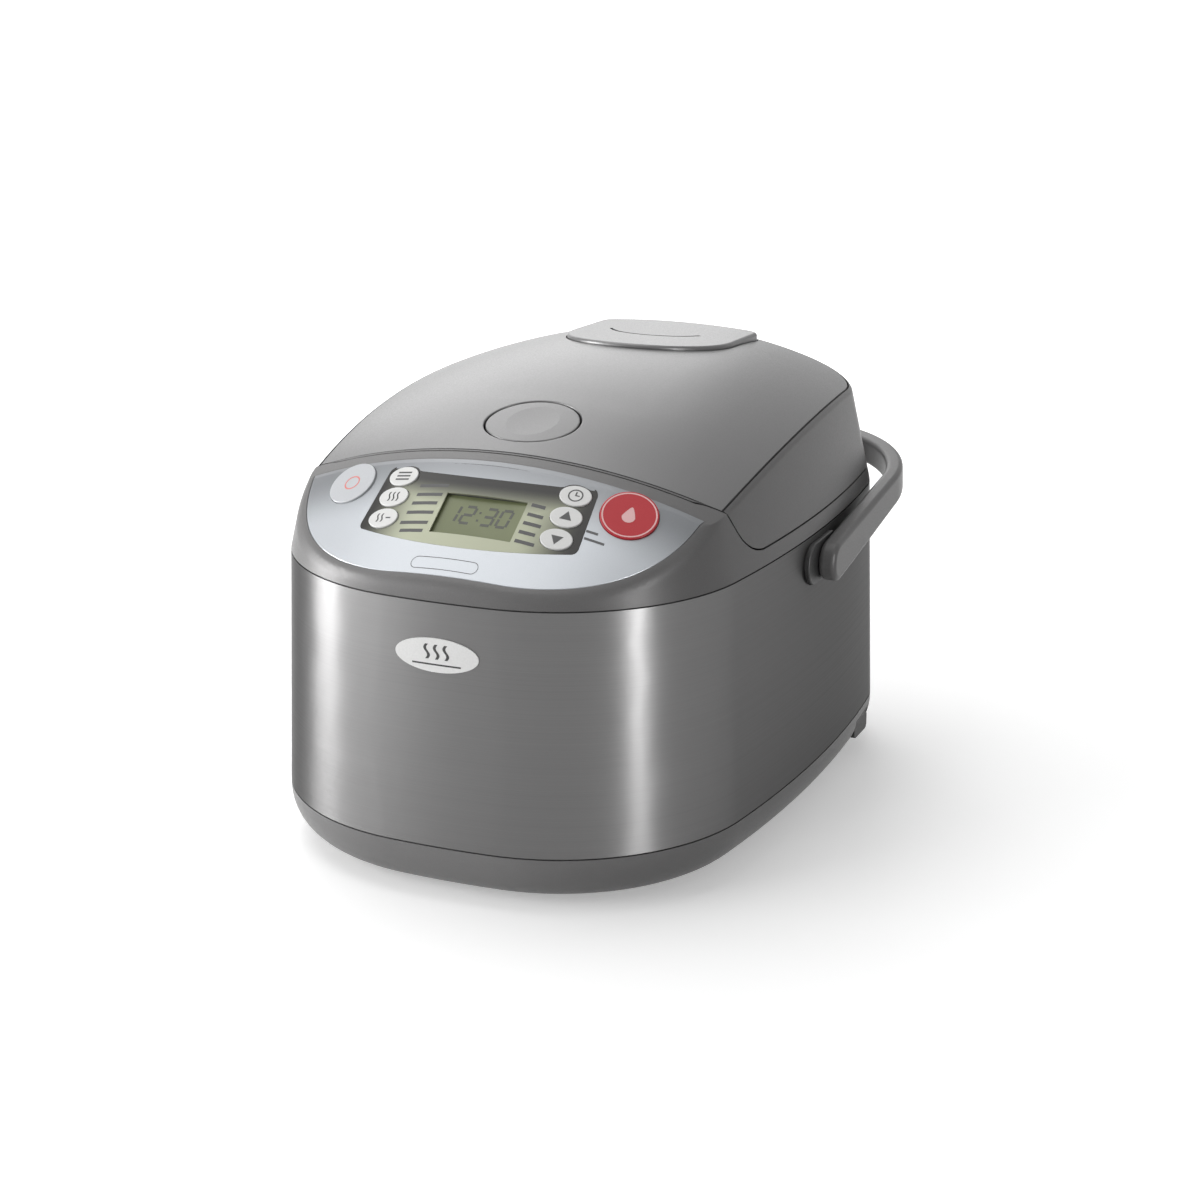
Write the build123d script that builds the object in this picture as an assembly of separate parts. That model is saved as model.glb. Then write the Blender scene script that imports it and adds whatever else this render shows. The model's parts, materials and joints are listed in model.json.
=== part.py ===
"""Rice cooker with a domed lid, a steel wrap and a bail handle.

Millimetres. +Z is up and the control panel faces -Y. The origin is on the table, under the
middle of the whole cooker with its handle laid back.
"""
from build123d import *
import math
import os

# Plan outline of the body at the seam under the top frame, as tangent arcs
HALF_WIDTH = 138.9
FRONT_Y = -192.2
REAR_Y = 175.0
WIDEST_Y = 27.6
FRONT_RADIUS = 420.0
CORNER_RADIUS = 108.0
SIDE_RADIUS = 841.0
REAR_CORNER_RADIUS = 62.0
REAR_RADIUS = 470.0

# Heights of the stacked shells
FOOT_HEIGHT = 3.0
BASE_SEAM_Z = 30.5
TOP_SEAM_Z = 165.4
BASE_FLARE = 4.6
BASE_ROUND = 25.0
SEAM_GAP = 0.8
WALL = 2.5
STEEL = 0.8
WRAP_TAPER = math.degrees(math.atan(BASE_FLARE / (TOP_SEAM_Z - BASE_SEAM_Z)))

# Dome of the lid, sloped control panel and leaning side wall
DOME_TAPER = 12.5
DOME_TOP_Z = 262.0
LID_APEX_Y = 62.0
LID_APEX_Z = 249.5
LID_LONG_RADIUS = 580.0
LID_CROSS_RADIUS = 300.0
LID_EDGE_ROUND = 5.0
PANEL_MID_Y = -155.0
PANEL_MID_Z = 197.4
PANEL_SLOPE = math.degrees(math.atan(0.66))
PANEL_RADIUS = 311.0
PANEL_AXIS_Y = PANEL_MID_Y + PANEL_RADIUS * math.sin(math.radians(PANEL_SLOPE))
PANEL_AXIS_Z = PANEL_MID_Z - PANEL_RADIUS * math.cos(math.radians(PANEL_SLOPE))
PANEL_EDGE_ROUND = 12.0
PANEL_INNER_ROUND = 9.0
SOLID_HALF = 160.0

# Parting line between the lid and the top frame
LID_FRONT_Y = -109.0
LID_FRONT_RADIUS = 660.0
LID_BOTTOM_Z = 174.5
LID_SHOULDER = (-99.0, 207.0)
LID_TOE_Y = -79.5
LID_TOE_ROUND = 30.0
LID_SHOULDER_ROUND = 8.0
PARTING_GAP = 1.0
COVER_EDGE = 2.6
COVER_FRONT = 2.0
COVER_GAP = 1.0
COVER_LEDGE = 4.0
COVER_SEAT = 2.0

# Lid hinge
HINGE_Y = 152.0
HINGE_Z = 200.0
HINGE_SWEEP = 25.5
HINGE_PIN_RADIUS = 3.0
HINGE_FIT = 0.05
EAR_X = 33.0
EAR_WIDTH = 5.0
EAR_RADIUS = 8.0
KNUCKLE_HALF = 15.5
HINGE_NOTCH_HALF = 37.0

# Cooking pan and its well
PAN_Y = 35.0
PAN_RADIUS = 104.0
PAN_WALL = 2.0
PAN_FLANGE_RADIUS = 109.0
PAN_FLANGE_Z = 168.5
PAN_BOTTOM_Z = 52.0
WELL_GAP = 3.0
WELL_WALL = 1.5
DECK_OPENING_RADIUS = 110.5

# Bail handle
HANDLE_Y = 11.0
HANDLE_Z = 148.1
HANDLE_REAR_Y = 196.8
HANDLE_TILT = 7.6
HANDLE_INNER = 141.5
HANDLE_OUTER = 151.7
HANDLE_CORNER = 80.0
HANDLE_END_RADIUS = 11.4
HANDLE_BAR_HEIGHT = 15.6
HANDLE_BAR = 12.0
HANDLE_EDGE = 3.0
PIVOT_RADIUS = 4.0
BOSS_RADIUS = 12.0
BOSS_HALF = 25.0
BOSS_Z = 149.0
BOSS_BACK_X = 133.0
BOSS_FACE_X = 141.2

# Control panel: the keys as name, x, y, width and depth along the slope
KEY_ROWS = (-128.2, -140.6, -153.3)
KEY_X = 50.0
KEY_SIZE = (17.5, 13.6)
OVAL_KEYS = (
    ("key_menu", -KEY_X, KEY_ROWS[0], KEY_SIZE),
    ("key_keep_warm", -KEY_X, KEY_ROWS[1], KEY_SIZE),
    ("key_extended", -KEY_X, KEY_ROWS[2], KEY_SIZE),
    ("key_timer", KEY_X, KEY_ROWS[0], KEY_SIZE),
    ("key_up", KEY_X, KEY_ROWS[1], KEY_SIZE),
    ("key_down", KEY_X, KEY_ROWS[2], KEY_SIZE),
)
ROUND_KEYS = (
    ("key_reset", -82.0, -127.0, (28.5, 28.5)),
    ("key_cooking", 80.0, -127.5, (31.0, 31.0)),
)
KEYS = OVAL_KEYS + ROUND_KEYS
KEY_PROUD = 0.9
KEY_TRAVEL = 0.6
KEY_GAP = 0.3
OVERLAY = 1.0
OVERLAY_GAP = 0.35
OVERLAY_MARGIN = 4.0
OVERLAY_TOP_Y = -115.4
OVERLAY_TOP_RADIUS = 833.0
BOARD_Y = -143.5
BOARD_DEPTH = 27.0
BOARD = (190.0, 46.0, 1.6)
LCD = (47.5, 28.6, 3.0)
LCD_X, LCD_Y = 4.0, -150.3
LCD_DEPTH = 2.6

# Lid release button and steam vent
BUTTON_Y = -72.0
BUTTON_SIZE = (52.8, 46.0)
BUTTON_GAP = 0.9
BUTTON_EDGE = 0.8
BUTTON_DISH_RADIUS, BUTTON_DISH_DEPTH = 400.0, 0.9
VENT_Y = 103.0
VENT_RADIUS = 52.4
VENT_REAR_Y = 152.0
VENT_MID = (100.0, 248.75)
VENT_SLOPE = -3.6
VENT_CROSS_RADIUS = 560.0
VENT_GAP = 0.9
VENT_CORNER = 8.0
VENT_EDGE = 2.0
VENT_SLIT_Y = 121.0
VENT_SLIT_RADIUS = 32.0
VENT_SLIT = 1.8

# Base pan and what stands on it
BASE_BOTTOM_Z = FOOT_HEIGHT
BASE_FLOOR_Z = FOOT_HEIGHT + WALL
SCREW_PLACES = [(-102, -70), (102, -70), (-85, 101), (85, 101)]
FOOT_PLACES = [(-90, -106), (90, -106), (-78, 118), (78, 118)]
POST_PLACES = [(3, -137), (87, -137), (3, -93), (87, -93)]
BOARD_Z = 34.0
FAN_X, FAN_Y, FAN_Z = -45.0, -108.0, 7.0
FAN_SIDE, FAN_HEIGHT, FAN_RADIUS = 72.0, 16.0, 32.0
REEL_Y, REEL_LOW, REEL_HIGH, REEL_RADIUS = 66.0, 6.5, 29.5, 60.0
REEL_POST = 5.0
PLUG_Y, PLUG_Z = 100.0, 17.5
PLUG_BAY = (30.0, 34.0, 16.0)
PLUG_BAY_X = 116.0

# Induction heating and temperature sensor under the pan
COIL_ARMS = (30, 150, 270)
COIL_ARM_REACH = 100.0
HOLDER_Z = 39.5
COIL_Z, COIL_HEIGHT = 43.0, 3.6
COILS = ((28.0, 55.0), (63.0, 80.0))
HUB_Z = 36.0
WELL_FLANGE_RADIUS = 113.0
SENSOR_HOLE = 22.0
SENSOR_STEM = 8.0
SENSOR_TOP_Z = PAN_BOTTOM_Z - 0.3

# Badge plate, display window and switches
BADGE_SIZE = (47.8, 18.3)
BADGE_Z = 136.8
BADGE_THICK = 0.6
WINDOW_TOP_Y = -121.0
WINDOW_TOP_HALF = 60.5
WINDOW_LOW = (63.0, -157.0)
WINDOW_BOTTOM_Y = -169.0
WINDOW_ROUND = 4.0
SWITCH_SIDE, SWITCH_HEIGHT = 6.0, 3.0

# Underside of the lid
LINER_INSET = 8.0
LINER_TOP_Z = LID_BOTTOM_Z + WALL
LINER_FRONT_Y = -58.0
LINER_REAR_Y = 138.0
LINER_HOLE = 101.0
LID_SCREW_PLACES = [(-117, -20), (117, -20), (-112, 75), (112, 75)]
LID_POST_Z = LID_BOTTOM_Z + 4.0
INNER_LID_Z = LID_BOTTOM_Z + 0.2
STEAM_Y = 95.0
STEAM_RADIUS = 7.0

# Latch and the button's stem
STRIKE_HALF, STRIKE_LOW, STRIKE_HIGH = 13.0, 182.0, 197.0
BUTTON_FLOOR_Z = 218.0
STEM_FOOT_Z = 207.3
STEM_RADIUS = 3.0
LATCH_HALF = 8.0
LATCH_Y, LATCH_Z = -55.0, 203.0
LATCH_PIN = 2.0


def unit(vector):
    """A plan vector made one long."""
    return vector.normalized()


def circle_inside(first, second, radius, toward_y):
    """Centre of a circle lying inside two larger circles and touching both."""
    (c1, r1), (c2, r2) = first, second
    a, b = r1 - radius, r2 - radius
    line = c2 - c1
    along = (line.length**2 + a**2 - b**2) / (2 * line.length)
    across = math.sqrt(a**2 - along**2)
    normal = Vector(-line.Y, line.X).normalized()
    found = [c1 + unit(line) * along + normal * across * side for side in (1, -1)]
    return max(found, key=lambda c: c.X + toward_y * c.Y)


FRONT_CENTRE = Vector(0, FRONT_Y + FRONT_RADIUS)
SIDE_CENTRE = Vector(HALF_WIDTH - SIDE_RADIUS, WIDEST_Y)
REAR_CENTRE = Vector(0, REAR_Y - REAR_RADIUS)
SIDE_CIRCLE = (SIDE_CENTRE, SIDE_RADIUS)
CORNER_CENTRE = circle_inside((FRONT_CENTRE, FRONT_RADIUS), SIDE_CIRCLE, CORNER_RADIUS, -1)
REAR_CORNER_CENTRE = circle_inside((REAR_CENTRE, REAR_RADIUS), SIDE_CIRCLE, REAR_CORNER_RADIUS, 1)


def mirrored(point):
    """The same plan point on the left side."""
    return Vector(-point.X, point.Y)


def outline(inset, z=0.0):
    """Face of the body's plan, drawn in from the seam's outline."""
    to_corner = unit(CORNER_CENTRE - FRONT_CENTRE)
    corner_to_side = unit(CORNER_CENTRE - SIDE_CENTRE)
    side_to_rear = unit(REAR_CORNER_CENTRE - SIDE_CENTRE)
    to_rear = unit(REAR_CORNER_CENTRE - REAR_CENTRE)
    p1 = FRONT_CENTRE + to_corner * (FRONT_RADIUS - inset)
    p2 = SIDE_CENTRE + corner_to_side * (SIDE_RADIUS - inset)
    p3 = SIDE_CENTRE + side_to_rear * (SIDE_RADIUS - inset)
    p4 = REAR_CENTRE + to_rear * (REAR_RADIUS - inset)
    corner = CORNER_CENTRE + unit(to_corner + corner_to_side) * (CORNER_RADIUS - inset)
    side = SIDE_CENTRE + unit(corner_to_side + side_to_rear) * (SIDE_RADIUS - inset)
    rear = REAR_CORNER_CENTRE + unit(side_to_rear + to_rear) * (REAR_CORNER_RADIUS - inset)
    front_mid = Vector(0, FRONT_Y + inset)
    rear_mid = Vector(0, REAR_Y - inset)
    q1, q2, q3, q4 = (mirrored(p) for p in (p1, p2, p3, p4))
    arcs = [
        ThreePointArc(q1, front_mid, p1),
        ThreePointArc(p1, corner, p2),
        ThreePointArc(p2, side, p3),
        ThreePointArc(p3, rear, p4),
        ThreePointArc(p4, rear_mid, q4),
        ThreePointArc(q4, mirrored(rear), q3),
        ThreePointArc(q3, mirrored(side), q2),
        ThreePointArc(q2, mirrored(corner), q1),
    ]
    return Pos(0, 0, z) * make_face(arcs)


def prism(inset, z_low, z_high, taper=0.0):
    """Upright block of the body's plan, leaning inward by the taper."""
    return extrude(outline(inset, z_low), amount=z_high - z_low, taper=taper)


def barrel(middle, long_radius, cross_radius, depth):
    """Large barrel about an axis along X whose skin passes through a point of the side view.

    The skin is arched by the cross radius from side to side and by the long radius from front
    to back. The depth sinks it below that point.
    """
    y, z = middle
    across = cross_radius - depth
    drop = across - math.sqrt(across**2 - SOLID_HALF**2)
    low = -long_radius
    section = make_face([
        ThreePointArc((-SOLID_HALF, -depth - drop), (0, -depth), (SOLID_HALF, -depth - drop)),
        Line((SOLID_HALF, -depth - drop), (SOLID_HALF, low)),
        Line((SOLID_HALF, low), (-SOLID_HALF, low)),
        Line((-SOLID_HALF, low), (-SOLID_HALF, -depth - drop)),
    ])
    axis = Axis((0, 0, low), (1, 0, 0))
    solid = revolve(Plane.XZ * section, axis, 360).rotate(axis, 180)
    return Pos(0, y, z) * solid


def lid_skin(depth=0.0):
    """Barrel that arches the lid from side to side and front to back."""
    return barrel((LID_APEX_Y, LID_APEX_Z), LID_LONG_RADIUS, LID_CROSS_RADIUS, depth)


def arch(middle, slope, radius, depth):
    """Long cylinder lying along a slope, its skin through a point of the side view."""
    tilt = math.radians(slope)
    axis_y = middle[0] + radius * math.sin(tilt)
    axis_z = middle[1] - radius * math.cos(tilt)
    return Pos(0, axis_y, axis_z) * Rot(slope - 90, 0, 0) * Cylinder(radius - depth, 1200)


def panel_skin(depth=0.0):
    """Cylinder that arches the sloped control panel from side to side."""
    return arch((PANEL_MID_Y, PANEL_MID_Z), PANEL_SLOPE, PANEL_RADIUS, depth)


def front_arc_disc(y_front, radius):
    """Tall disc whose front edge is the shallow arc of a seam seen from above."""
    return Pos(0, y_front + radius, 150) * Cylinder(radius, 400)


def side_profile(points, half_width=SOLID_HALF):
    """Block with the given side view, points as y and z, running across X."""
    face = make_face(Polyline(*points, close=True))
    return extrude(Plane.YZ * face, amount=half_width, both=True)


def lid_zone(grow=0.0):
    """Space behind and above the parting line, grown by a gap or drawn in by a wall."""
    y_s, z_s = LID_SHOULDER
    low = LID_BOTTOM_Z - grow
    top = DOME_TOP_Z + 10
    front, far = LID_FRONT_Y - 12, 190.0
    lean = math.atan2(z_s - LID_BOTTOM_Z, LID_TOE_Y - y_s)
    bend = math.tan(lean / 2)
    slide = (math.cos(lean), -math.sin(lean))

    hollow = LID_SHOULDER_ROUND - grow
    shoulder = (y_s - grow * bend, z_s - grow)
    reach = hollow * bend
    s_start = (shoulder[0] - reach, shoulder[1])
    s_end = (shoulder[0] + reach * slide[0], shoulder[1] + reach * slide[1])
    sine, dip = math.sin(lean / 2), 1 - math.cos(lean / 2)
    s_mid = (s_start[0] + hollow * sine, shoulder[1] - hollow * dip)

    round_out = LID_TOE_ROUND + grow
    toe_y = LID_TOE_Y - grow * bend
    reach = round_out * bend
    t_start = (toe_y - reach * slide[0], low - reach * slide[1])
    t_end = (toe_y + reach, low)
    t_mid = (t_end[0] - round_out * sine, low + round_out * dip)

    sweep_radius = HINGE_SWEEP + grow
    end_z = HINGE_Z - HINGE_SWEEP * math.sin(math.radians(20)) - grow
    turn = math.asin((end_z - HINGE_Z) / sweep_radius)
    half = (turn - math.pi / 2) / 2
    end = (HINGE_Y + sweep_radius * math.cos(turn), end_z)
    middle = (HINGE_Y + sweep_radius * math.cos(half), HINGE_Z + sweep_radius * math.sin(half))
    face = make_face([
        Line((front, top), (front, shoulder[1])),
        Line((front, shoulder[1]), s_start),
        ThreePointArc(s_start, s_mid, s_end),
        Line(s_end, t_start),
        ThreePointArc(t_start, t_mid, t_end),
        Line(t_end, (HINGE_Y, low)),
        ThreePointArc((HINGE_Y, low), middle, end),
        Line(end, (far, end_z)),
        Line((far, end_z), (far, top)),
        Line((far, top), (front, top)),
    ])
    block = extrude(Plane.YZ * face, amount=SOLID_HALF, both=True)
    return block & front_arc_disc(LID_FRONT_Y - grow, LID_FRONT_RADIUS + grow)


def panel_plane(x, y, depth=0.0):
    """Plane lying on the control panel over a plan point, sunk by the depth."""
    slope = math.radians(PANEL_SLOPE)
    turn = math.asin(x / PANEL_RADIUS)
    rise = PANEL_RADIUS * math.cos(turn)
    along = (y - PANEL_AXIS_Y + rise * math.sin(slope)) / math.cos(slope)
    z = PANEL_AXIS_Z + along * math.sin(slope) + rise * math.cos(slope)
    side, front = math.sin(turn), math.cos(turn)
    normal = Vector(side, -front * math.sin(slope), front * math.cos(slope))
    across = Vector(front, side * math.sin(slope), -side * math.cos(slope))
    return Plane(origin=Vector(x, y, z) - normal * depth, x_dir=across, z_dir=normal)


def lid_edges(solid):
    """Edges where the leaning wall meets the arched top."""
    return [e for e in solid.edges() if e.geom_type == GeomType.BSPLINE]


def panel_edges(solid):
    """Edges where the leaning wall meets the sloped panel, below the block's top."""
    curves = [e for e in solid.edges() if e.geom_type == GeomType.BSPLINE]
    return [e for e in curves if e.center().Z < DOME_TOP_Z - 1]


def lid_block(inset, round_radius):
    """The lid's outer form over the whole body, with its top edge rounded."""
    block = prism(inset, TOP_SEAM_Z, DOME_TOP_Z, DOME_TAPER) & lid_skin(inset)
    return fillet(lid_edges(block), round_radius)


def front_block(inset, depth, round_radius):
    """The top frame's outer form, with the panel's lower edge rounded."""
    block = prism(inset, TOP_SEAM_Z - inset / WALL, DOME_TOP_Z, DOME_TAPER) & panel_skin(depth)
    return fillet(panel_edges(block), round_radius) & lid_skin(inset)


def upright(x, y, radius, z_low, z_high):
    """Upright cylinder between two heights."""
    return Pos(x, y, (z_low + z_high) / 2) * Cylinder(radius, z_high - z_low)


def across_x(y, z, radius, x_low, x_high):
    """Cylinder along X between two sides."""
    return Pos((x_low + x_high) / 2, y, z) * Rot(0, 90, 0) * Cylinder(radius, x_high - x_low)


def block_between(low, high):
    """Box between two corners."""
    size = [h - l for l, h in zip(low, high)]
    middle = [(h + l) / 2 for l, h in zip(low, high)]
    return Pos(*middle) * Box(*size)


def mirror_pair(right):
    """The right hand piece and its mirror image."""
    return [right, mirror(right, Plane.YZ)]


def ring(points, y=PAN_Y):
    """Round piece turned about the pan's axis from a profile of radius and height."""
    face = make_face(Polyline(*points, close=True))
    return Pos(0, y, 0) * revolve(Plane.XZ * face, Axis.Z, 360)


# Base pan: a moulded tray with a wide rounded foot edge, vents and screw posts


def base_pan():
    outer = prism(-BASE_FLARE, BASE_BOTTOM_Z, BASE_SEAM_Z)
    outer = fillet(outer.edges().group_by(Axis.Z)[0], BASE_ROUND)
    inner = prism(WALL - BASE_FLARE, BASE_FLOOR_Z, BASE_SEAM_Z)
    inner = fillet(inner.edges().group_by(Axis.Z)[0], BASE_ROUND - WALL)
    lip_inset = STEEL + 0.4 - BASE_FLARE
    lip = prism(lip_inset, BASE_SEAM_Z - 4, BASE_SEAM_Z + 4) - prism(lip_inset + 2, 0, 60)
    lip &= prism(WALL - BASE_FLARE - 0.5, 0, 60)
    tray = outer - inner + lip
    for x, y in SCREW_PLACES:
        tray += upright(x, y, 7.0, BASE_BOTTOM_Z, 20.0)
        tray -= upright(x, y, 4.6, BASE_BOTTOM_Z - 1, 8.0) + upright(x, y, 2.1, 0, 21.0)
    for x, y in POST_PLACES:
        tray += upright(x, y, 4.0, BASE_FLOOR_Z - 0.5, BOARD_Z)
    for turn in COIL_ARMS:
        x = COIL_ARM_REACH * math.cos(math.radians(turn))
        y = PAN_Y + COIL_ARM_REACH * math.sin(math.radians(turn))
        tray += upright(x, y, 5.0, BASE_FLOOR_Z - 0.5, HOLDER_Z)
    for row in range(-3, 4):
        slot_y = FAN_Y + row * 8.0
        length = 2 * math.sqrt((FAN_RADIUS - 3) ** 2 - (row * 8.0) ** 2)
        tray -= Pos(FAN_X, slot_y, BASE_BOTTOM_Z) * Box(length, 4.0, 12.0)
    for column in range(-5, 6):
        tray -= Pos(column * 11.0, REAR_Y + BASE_FLARE, 21.0) * Box(4.0, 24.0, 9.0)
    bay = plug_bay_block(0.3)
    return tray - bay


def plug_bay_block(grow=0.0):
    """Outer block of the plug's bay, let into the right side of the base."""
    length, width, height = (v + 2 * grow for v in PLUG_BAY)
    return Pos(PLUG_BAY_X + 15.0, PLUG_Y, PLUG_Z) * Box(length, width, height)


def plug_bay():
    """Black cup open to the side, trimmed to the base's own outer form."""
    outer = prism(-BASE_FLARE, BASE_BOTTOM_Z, BASE_SEAM_Z)
    outer = fillet(outer.edges().group_by(Axis.Z)[0], BASE_ROUND)
    length, width, height = PLUG_BAY
    hollow = Pos(PLUG_BAY_X + 15.0 + 2.0, PLUG_Y, PLUG_Z) * Box(length, width - 3, height - 3)
    return (plug_bay_block() & outer) - hollow


def plug():
    """Body of the mains plug parked in its bay, with finger grooves on both sides."""
    body = Pos(PLUG_BAY_X + 14.0, PLUG_Y, PLUG_Z) * Box(18.0, 24.0, 11.0)
    body = fillet(body.edges().filter_by(Axis.X), 3.0)
    for groove in range(3):
        groove_x = PLUG_BAY_X + 13.0 + groove * 3.0
        body -= Pos(groove_x, PLUG_Y - 12.0, PLUG_Z) * Box(1.2, 1.2, 9.0)
        body -= Pos(groove_x, PLUG_Y + 12.0, PLUG_Z) * Box(1.2, 1.2, 9.0)
    return body


def rubber_feet():
    foot = Cylinder(9.0, FOOT_HEIGHT)
    foot = fillet(foot.edges().group_by(Axis.Z)[0], 0.8)
    return [Pos(x, y, FOOT_HEIGHT / 2) * foot for x, y in FOOT_PLACES]


def screws(places, head_z, head_up, length):
    """Pan head screws standing at the given plan places."""
    made = []
    sense = 1 if head_up else -1
    for x, y in places:
        head = Pos(x, y, head_z) * Cylinder(4.0, 2.2)
        head = fillet(head.edges().group_by(Axis.Z)[-1 if head_up else 0], 0.9)
        head -= Pos(x, y, head_z + sense * 1.1) * Box(4.6, 0.9, 1.6)
        head -= Pos(x, y, head_z + sense * 1.1) * Box(0.9, 4.6, 1.6)
        shank = Pos(x, y, head_z - sense * (1.1 + length / 2)) * Cylinder(1.9, length)
        made.append(head + shank)
    return made


# Steel wrap: one brushed sheet closed at the back
def wrap_block(inset):
    low, high = BASE_SEAM_Z + SEAM_GAP, TOP_SEAM_Z - SEAM_GAP
    return prism(inset - BASE_FLARE, low, high, WRAP_TAPER)


def boss_blocks(grow=0.0):
    """Long rounded blocks that the handle turns on, right and left."""
    plan = Pos(HANDLE_Y, BOSS_Z) * SlotOverall(2 * (BOSS_HALF + grow), 2 * (BOSS_RADIUS + grow))
    depth = BOSS_FACE_X - BOSS_BACK_X + grow
    right = Pos(BOSS_BACK_X, 0, 0) * extrude(Plane.YZ * plan, amount=depth)
    return mirror_pair(right)


def steel_wrap():
    sheet = wrap_block(0) - wrap_block(STEEL)
    for boss in boss_blocks(0.3):
        sheet -= boss
    return sheet


def badge_plate():
    """Bare oval plate lying on the curved steel front."""
    oval = Plane.XZ * Pos(0, BADGE_Z) * Ellipse(BADGE_SIZE[0] / 2, BADGE_SIZE[1] / 2)
    front = extrude(oval, amount=-FRONT_Y + 20)
    return front & (wrap_block(-BADGE_THICK) - wrap_block(0))


# Top frame: rim, sloped front and the deck around the pan's opening
def overlay_zone(margin, depth):
    """Lens shaped patch of the front under the silver overlay, open upward from the depth."""
    patch = prism(OVERLAY_MARGIN + margin, TOP_SEAM_Z, DOME_TOP_Z, DOME_TAPER)
    patch -= front_arc_disc(OVERLAY_TOP_Y - margin, OVERLAY_TOP_RADIUS)
    return patch - panel_skin(depth)


def window_zone(grow):
    """Plan of the display window as a tall block."""
    x_low, y_low = WINDOW_LOW
    face = make_face([
        Line((x_low, y_low), (WINDOW_TOP_HALF, WINDOW_TOP_Y)),
        Line((WINDOW_TOP_HALF, WINDOW_TOP_Y), (-WINDOW_TOP_HALF, WINDOW_TOP_Y)),
        Line((-WINDOW_TOP_HALF, WINDOW_TOP_Y), (-x_low, y_low)),
        ThreePointArc((-x_low, y_low), (0, WINDOW_BOTTOM_Y), (x_low, y_low)),
    ])
    face = fillet(face.vertices(), WINDOW_ROUND)
    if grow:
        face = offset(face, amount=grow)
    return extrude(Pos(0, 0, TOP_SEAM_Z) * face, amount=90)


def lcd_block(depth, height, grow=0.0):
    """Block over the display's place, from a depth under the panel upward."""
    place = panel_plane(0, LCD_Y, depth) * Pos(LCD_X, 0)
    return extrude(place * Rectangle(LCD[0] + grow, LCD[1] + grow), amount=height)


def key_plan(size, grow=0.0):
    """Round or oval face of a key."""
    if size[0] == size[1]:
        return Circle(size[0] / 2 + grow)
    return Ellipse(size[0] / 2 + grow, size[1] / 2 + grow)


def key_hole(x, y, size, grow, deep):
    """Block through the panel along a key's own line of travel."""
    return extrude(panel_plane(x, y, deep) * key_plan(size, grow), amount=deep + 6)


def strike_block(shrink=0.0):
    half = STRIKE_HALF - shrink
    return block_between((-half, -104, STRIKE_LOW + shrink), (half, -78, STRIKE_HIGH - shrink))


def frame_wall():
    """Hollow form of the top frame before its holes are cut."""
    outer = front_block(0, 0, PANEL_EDGE_ROUND) - lid_zone(PARTING_GAP)
    inner = front_block(WALL, WALL + OVERLAY, PANEL_INNER_ROUND)
    inner -= lid_zone(PARTING_GAP + WALL)
    return outer - inner


def top_frame(wall):
    lip = prism(STEEL + 0.6, TOP_SEAM_Z - 5, TOP_SEAM_Z + 1) - prism(WALL + 0.8, 150, 175)
    frame = wall + lip
    low, near = PAN_FLANGE_Z, DECK_OPENING_RADIUS
    frame += ring([(near - 1, low), (near + 3, low), (near + 3, 172), (near - 1, 172)])
    frame -= upright(0, PAN_Y, DECK_OPENING_RADIUS, 160, 181)
    for boss in boss_blocks(0.3):
        frame -= boss
    frame -= overlay_zone(0, OVERLAY)
    frame -= lcd_block(8.0, 12.0, 1.0)
    for _, x, y, size in KEYS:
        frame -= key_hole(x, y, size, KEY_GAP + 0.5, 8.0)
    return frame - strike_block()


def latch_strike(wall):
    """Steel keeper let into the wall that faces the lid's front."""
    plate = wall & strike_block(0.2)
    return plate - block_between((-9.5, -110, 185.5), (9.5, -70, 193.5))


def panel_overlay():
    sheet = overlay_zone(OVERLAY_GAP, OVERLAY) & front_block(0, 0, PANEL_EDGE_ROUND)
    sheet -= window_zone(0.15)
    for _, x, y, size in ROUND_KEYS:
        sheet -= key_hole(x, y, size, KEY_GAP, 4.0)
    return sheet


def display_window():
    lens = window_zone(0) & (panel_skin(0) - panel_skin(OVERLAY))
    for _, x, y, size in OVAL_KEYS:
        lens -= key_hole(x, y, size, KEY_GAP, 4.0)
    return lens - lcd_block(8.0, 12.0, -1.0)


def board_plane(height=0.0):
    return panel_plane(0, BOARD_Y, BOARD_DEPTH - height)


def lcd_module():
    return lcd_block(LCD_DEPTH + LCD[2], LCD[2])


def lcd_holder():
    """Open moulded box that carries the display above the board."""
    deep = BOARD_DEPTH - BOARD[2]
    height = deep - LCD_DEPTH - LCD[2]
    return lcd_block(deep, height, -2.0) - lcd_block(deep + 1, height + 2, -6.0)


def control_board():
    sheet = RectangleRounded(BOARD[0], BOARD[1], 3.0)
    for x in (-BOARD[0] / 2 + 5, BOARD[0] / 2 - 5):
        sheet -= Pos(x, -BOARD[1] / 2 + 5) * Circle(1.7)
    return extrude(board_plane() * sheet, amount=BOARD[2])


def board_foot(x, y):
    """Place on the board, in its own plane, that a key's line of travel meets."""
    key = panel_plane(x, y)
    top = board_plane(BOARD[2])
    reach = (key.origin - top.origin).dot(top.z_dir) / key.z_dir.dot(top.z_dir)
    foot = key.origin - key.z_dir * reach
    return top.to_local_coords(foot), reach


def tact_switches():
    made = []
    for _, x, y, _ in KEYS:
        foot, _ = board_foot(x, y)
        base = board_plane(BOARD[2]) * Pos(foot.X, foot.Y)
        made.append(base * Pos(0, 0, SWITCH_HEIGHT / 2) * Box(SWITCH_SIDE, SWITCH_SIDE, SWITCH_HEIGHT))
    return made


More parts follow.
